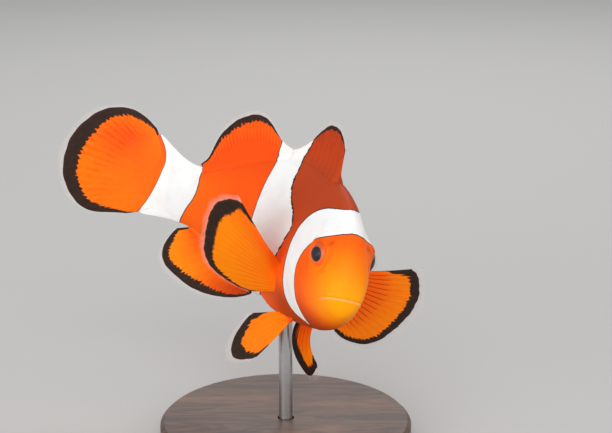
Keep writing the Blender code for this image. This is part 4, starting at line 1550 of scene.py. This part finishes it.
class CLOWNFISH_OT_studio(Operator):
    """Sets out the pale floor, the soft lights and the camera"""

    bl_idname = "clownfish.studio"
    bl_label = "Studio"

    def execute(self, context):
        scene = context.scene
        scene.view_settings.view_transform = "Standard"
        add_floor()
        for light in LIGHTS:
            add_light(*light)
        world = bpy.data.worlds.new("studio")
        world.use_nodes = True
        background = world.node_tree.nodes["Background"]
        background.inputs["Color"].default_value = (*SKY_COLOUR, 1)
        background.inputs["Strength"].default_value = SKY_STRENGTH
        scene.world = world
        add_camera()
        return {"FINISHED"}


# ---------------------------------------------------------------- the stage
CAMERA_LENS = 90.0
CAMERA_DOWN = 15.0              # degrees below level
CAMERA_PLACE = (0.0037, -0.2620, 0.1129)
LIT_POINT = (0.0, 0.0, 0.035)
# Each light: its name, place, width in metres and power in watts
LIGHTS = (("key_light", (-0.05, -0.60, 0.45), 0.60, 2.7), ("left_light", (-0.50, -0.45, 0.08), 0.50, 2.6),
          ("fill_light", (0.50, -0.45, 0.20), 0.50, 1.3), ("back_light", (0.05, 0.45, 0.50), 0.40, 1.4))
SKY_COLOUR = (0.90, 0.92, 0.95)
SKY_STRENGTH = 0.57
FLOOR_RADIUS = 3.0
FLOOR_SIDES = 64
FLOOR_COLOUR = (0.50, 0.49, 0.475)


def add_camera():
    """A camera that looks along +Y and a little down at the fish's face."""
    camera = bpy.data.cameras.new("camera")
    camera.lens = CAMERA_LENS
    camera.clip_start = 0.01
    made = add_object("camera", camera)
    made.location = CAMERA_PLACE
    made.rotation_euler = (radians(90 - CAMERA_DOWN), 0, 0)
    bpy.context.scene.camera = made


def add_floor():
    """A wide, flat, pale floor."""
    angle = np.linspace(0, 2 * pi, FLOOR_SIDES, endpoint=False)
    points = FLOOR_RADIUS * np.stack([np.cos(angle), np.sin(angle), 0 * angle], -1)
    mesh = bpy.data.meshes.new("floor")
    mesh.from_pydata(points.tolist(), [], [tuple(range(FLOOR_SIDES))])
    mesh.materials.append(Nodes("floor").finish(Base_Color=FLOOR_COLOUR, Roughness=0.85))
    add_object("floor", mesh)


def add_light(name, location, size, power):
    """A square soft light that faces the fish."""
    light = bpy.data.lights.new(name, "AREA")
    light.size = size
    light.energy = power
    made = add_object(name, light)
    made.location = location
    made.rotation_euler = (Vector(LIT_POINT) - Vector(location)).to_track_quat("-Z", "Y").to_euler()


class CLOWNFISH_PT_panel(Panel):
    """Lists the pieces and their settings"""

    bl_label = "Clownfish"
    bl_idname = "CLOWNFISH_PT_panel"
    bl_space_type = "VIEW_3D"
    bl_region_type = "UI"
    bl_category = "Clownfish"

    def draw(self, context):
        column = self.layout.column()
        for operator in OPERATORS:
            column.operator(operator.bl_idname)
        for group in settings():
            for key in group.__annotations__:
                column.prop(group, key)


OPERATORS = (CLOWNFISH_OT_studio, CLOWNFISH_OT_skin, CLOWNFISH_OT_scales, CLOWNFISH_OT_fringe,
             CLOWNFISH_OT_eyes, CLOWNFISH_OT_stand)
CLASSES = (ClownfishColours, ClownfishSizes, *OPERATORS, CLOWNFISH_PT_panel)


def register():
    """Registers the classes and their settings."""
    for each in CLASSES:
        bpy.utils.register_class(each)
    bpy.types.Scene.clownfish_colours = PointerProperty(type=ClownfishColours)
    bpy.types.Scene.clownfish_sizes = PointerProperty(type=ClownfishSizes)


def unregister():
    """Takes the classes and their settings away."""
    del bpy.types.Scene.clownfish_sizes
    del bpy.types.Scene.clownfish_colours
    for each in reversed(CLASSES):
        bpy.utils.unregister_class(each)


def main():
    """Builds every piece in turn."""
    register()
    for operator in OPERATORS:
        group, name = operator.bl_idname.split(".")
        getattr(getattr(bpy.ops, group), name)()


if __name__ == "__main__":
    main()
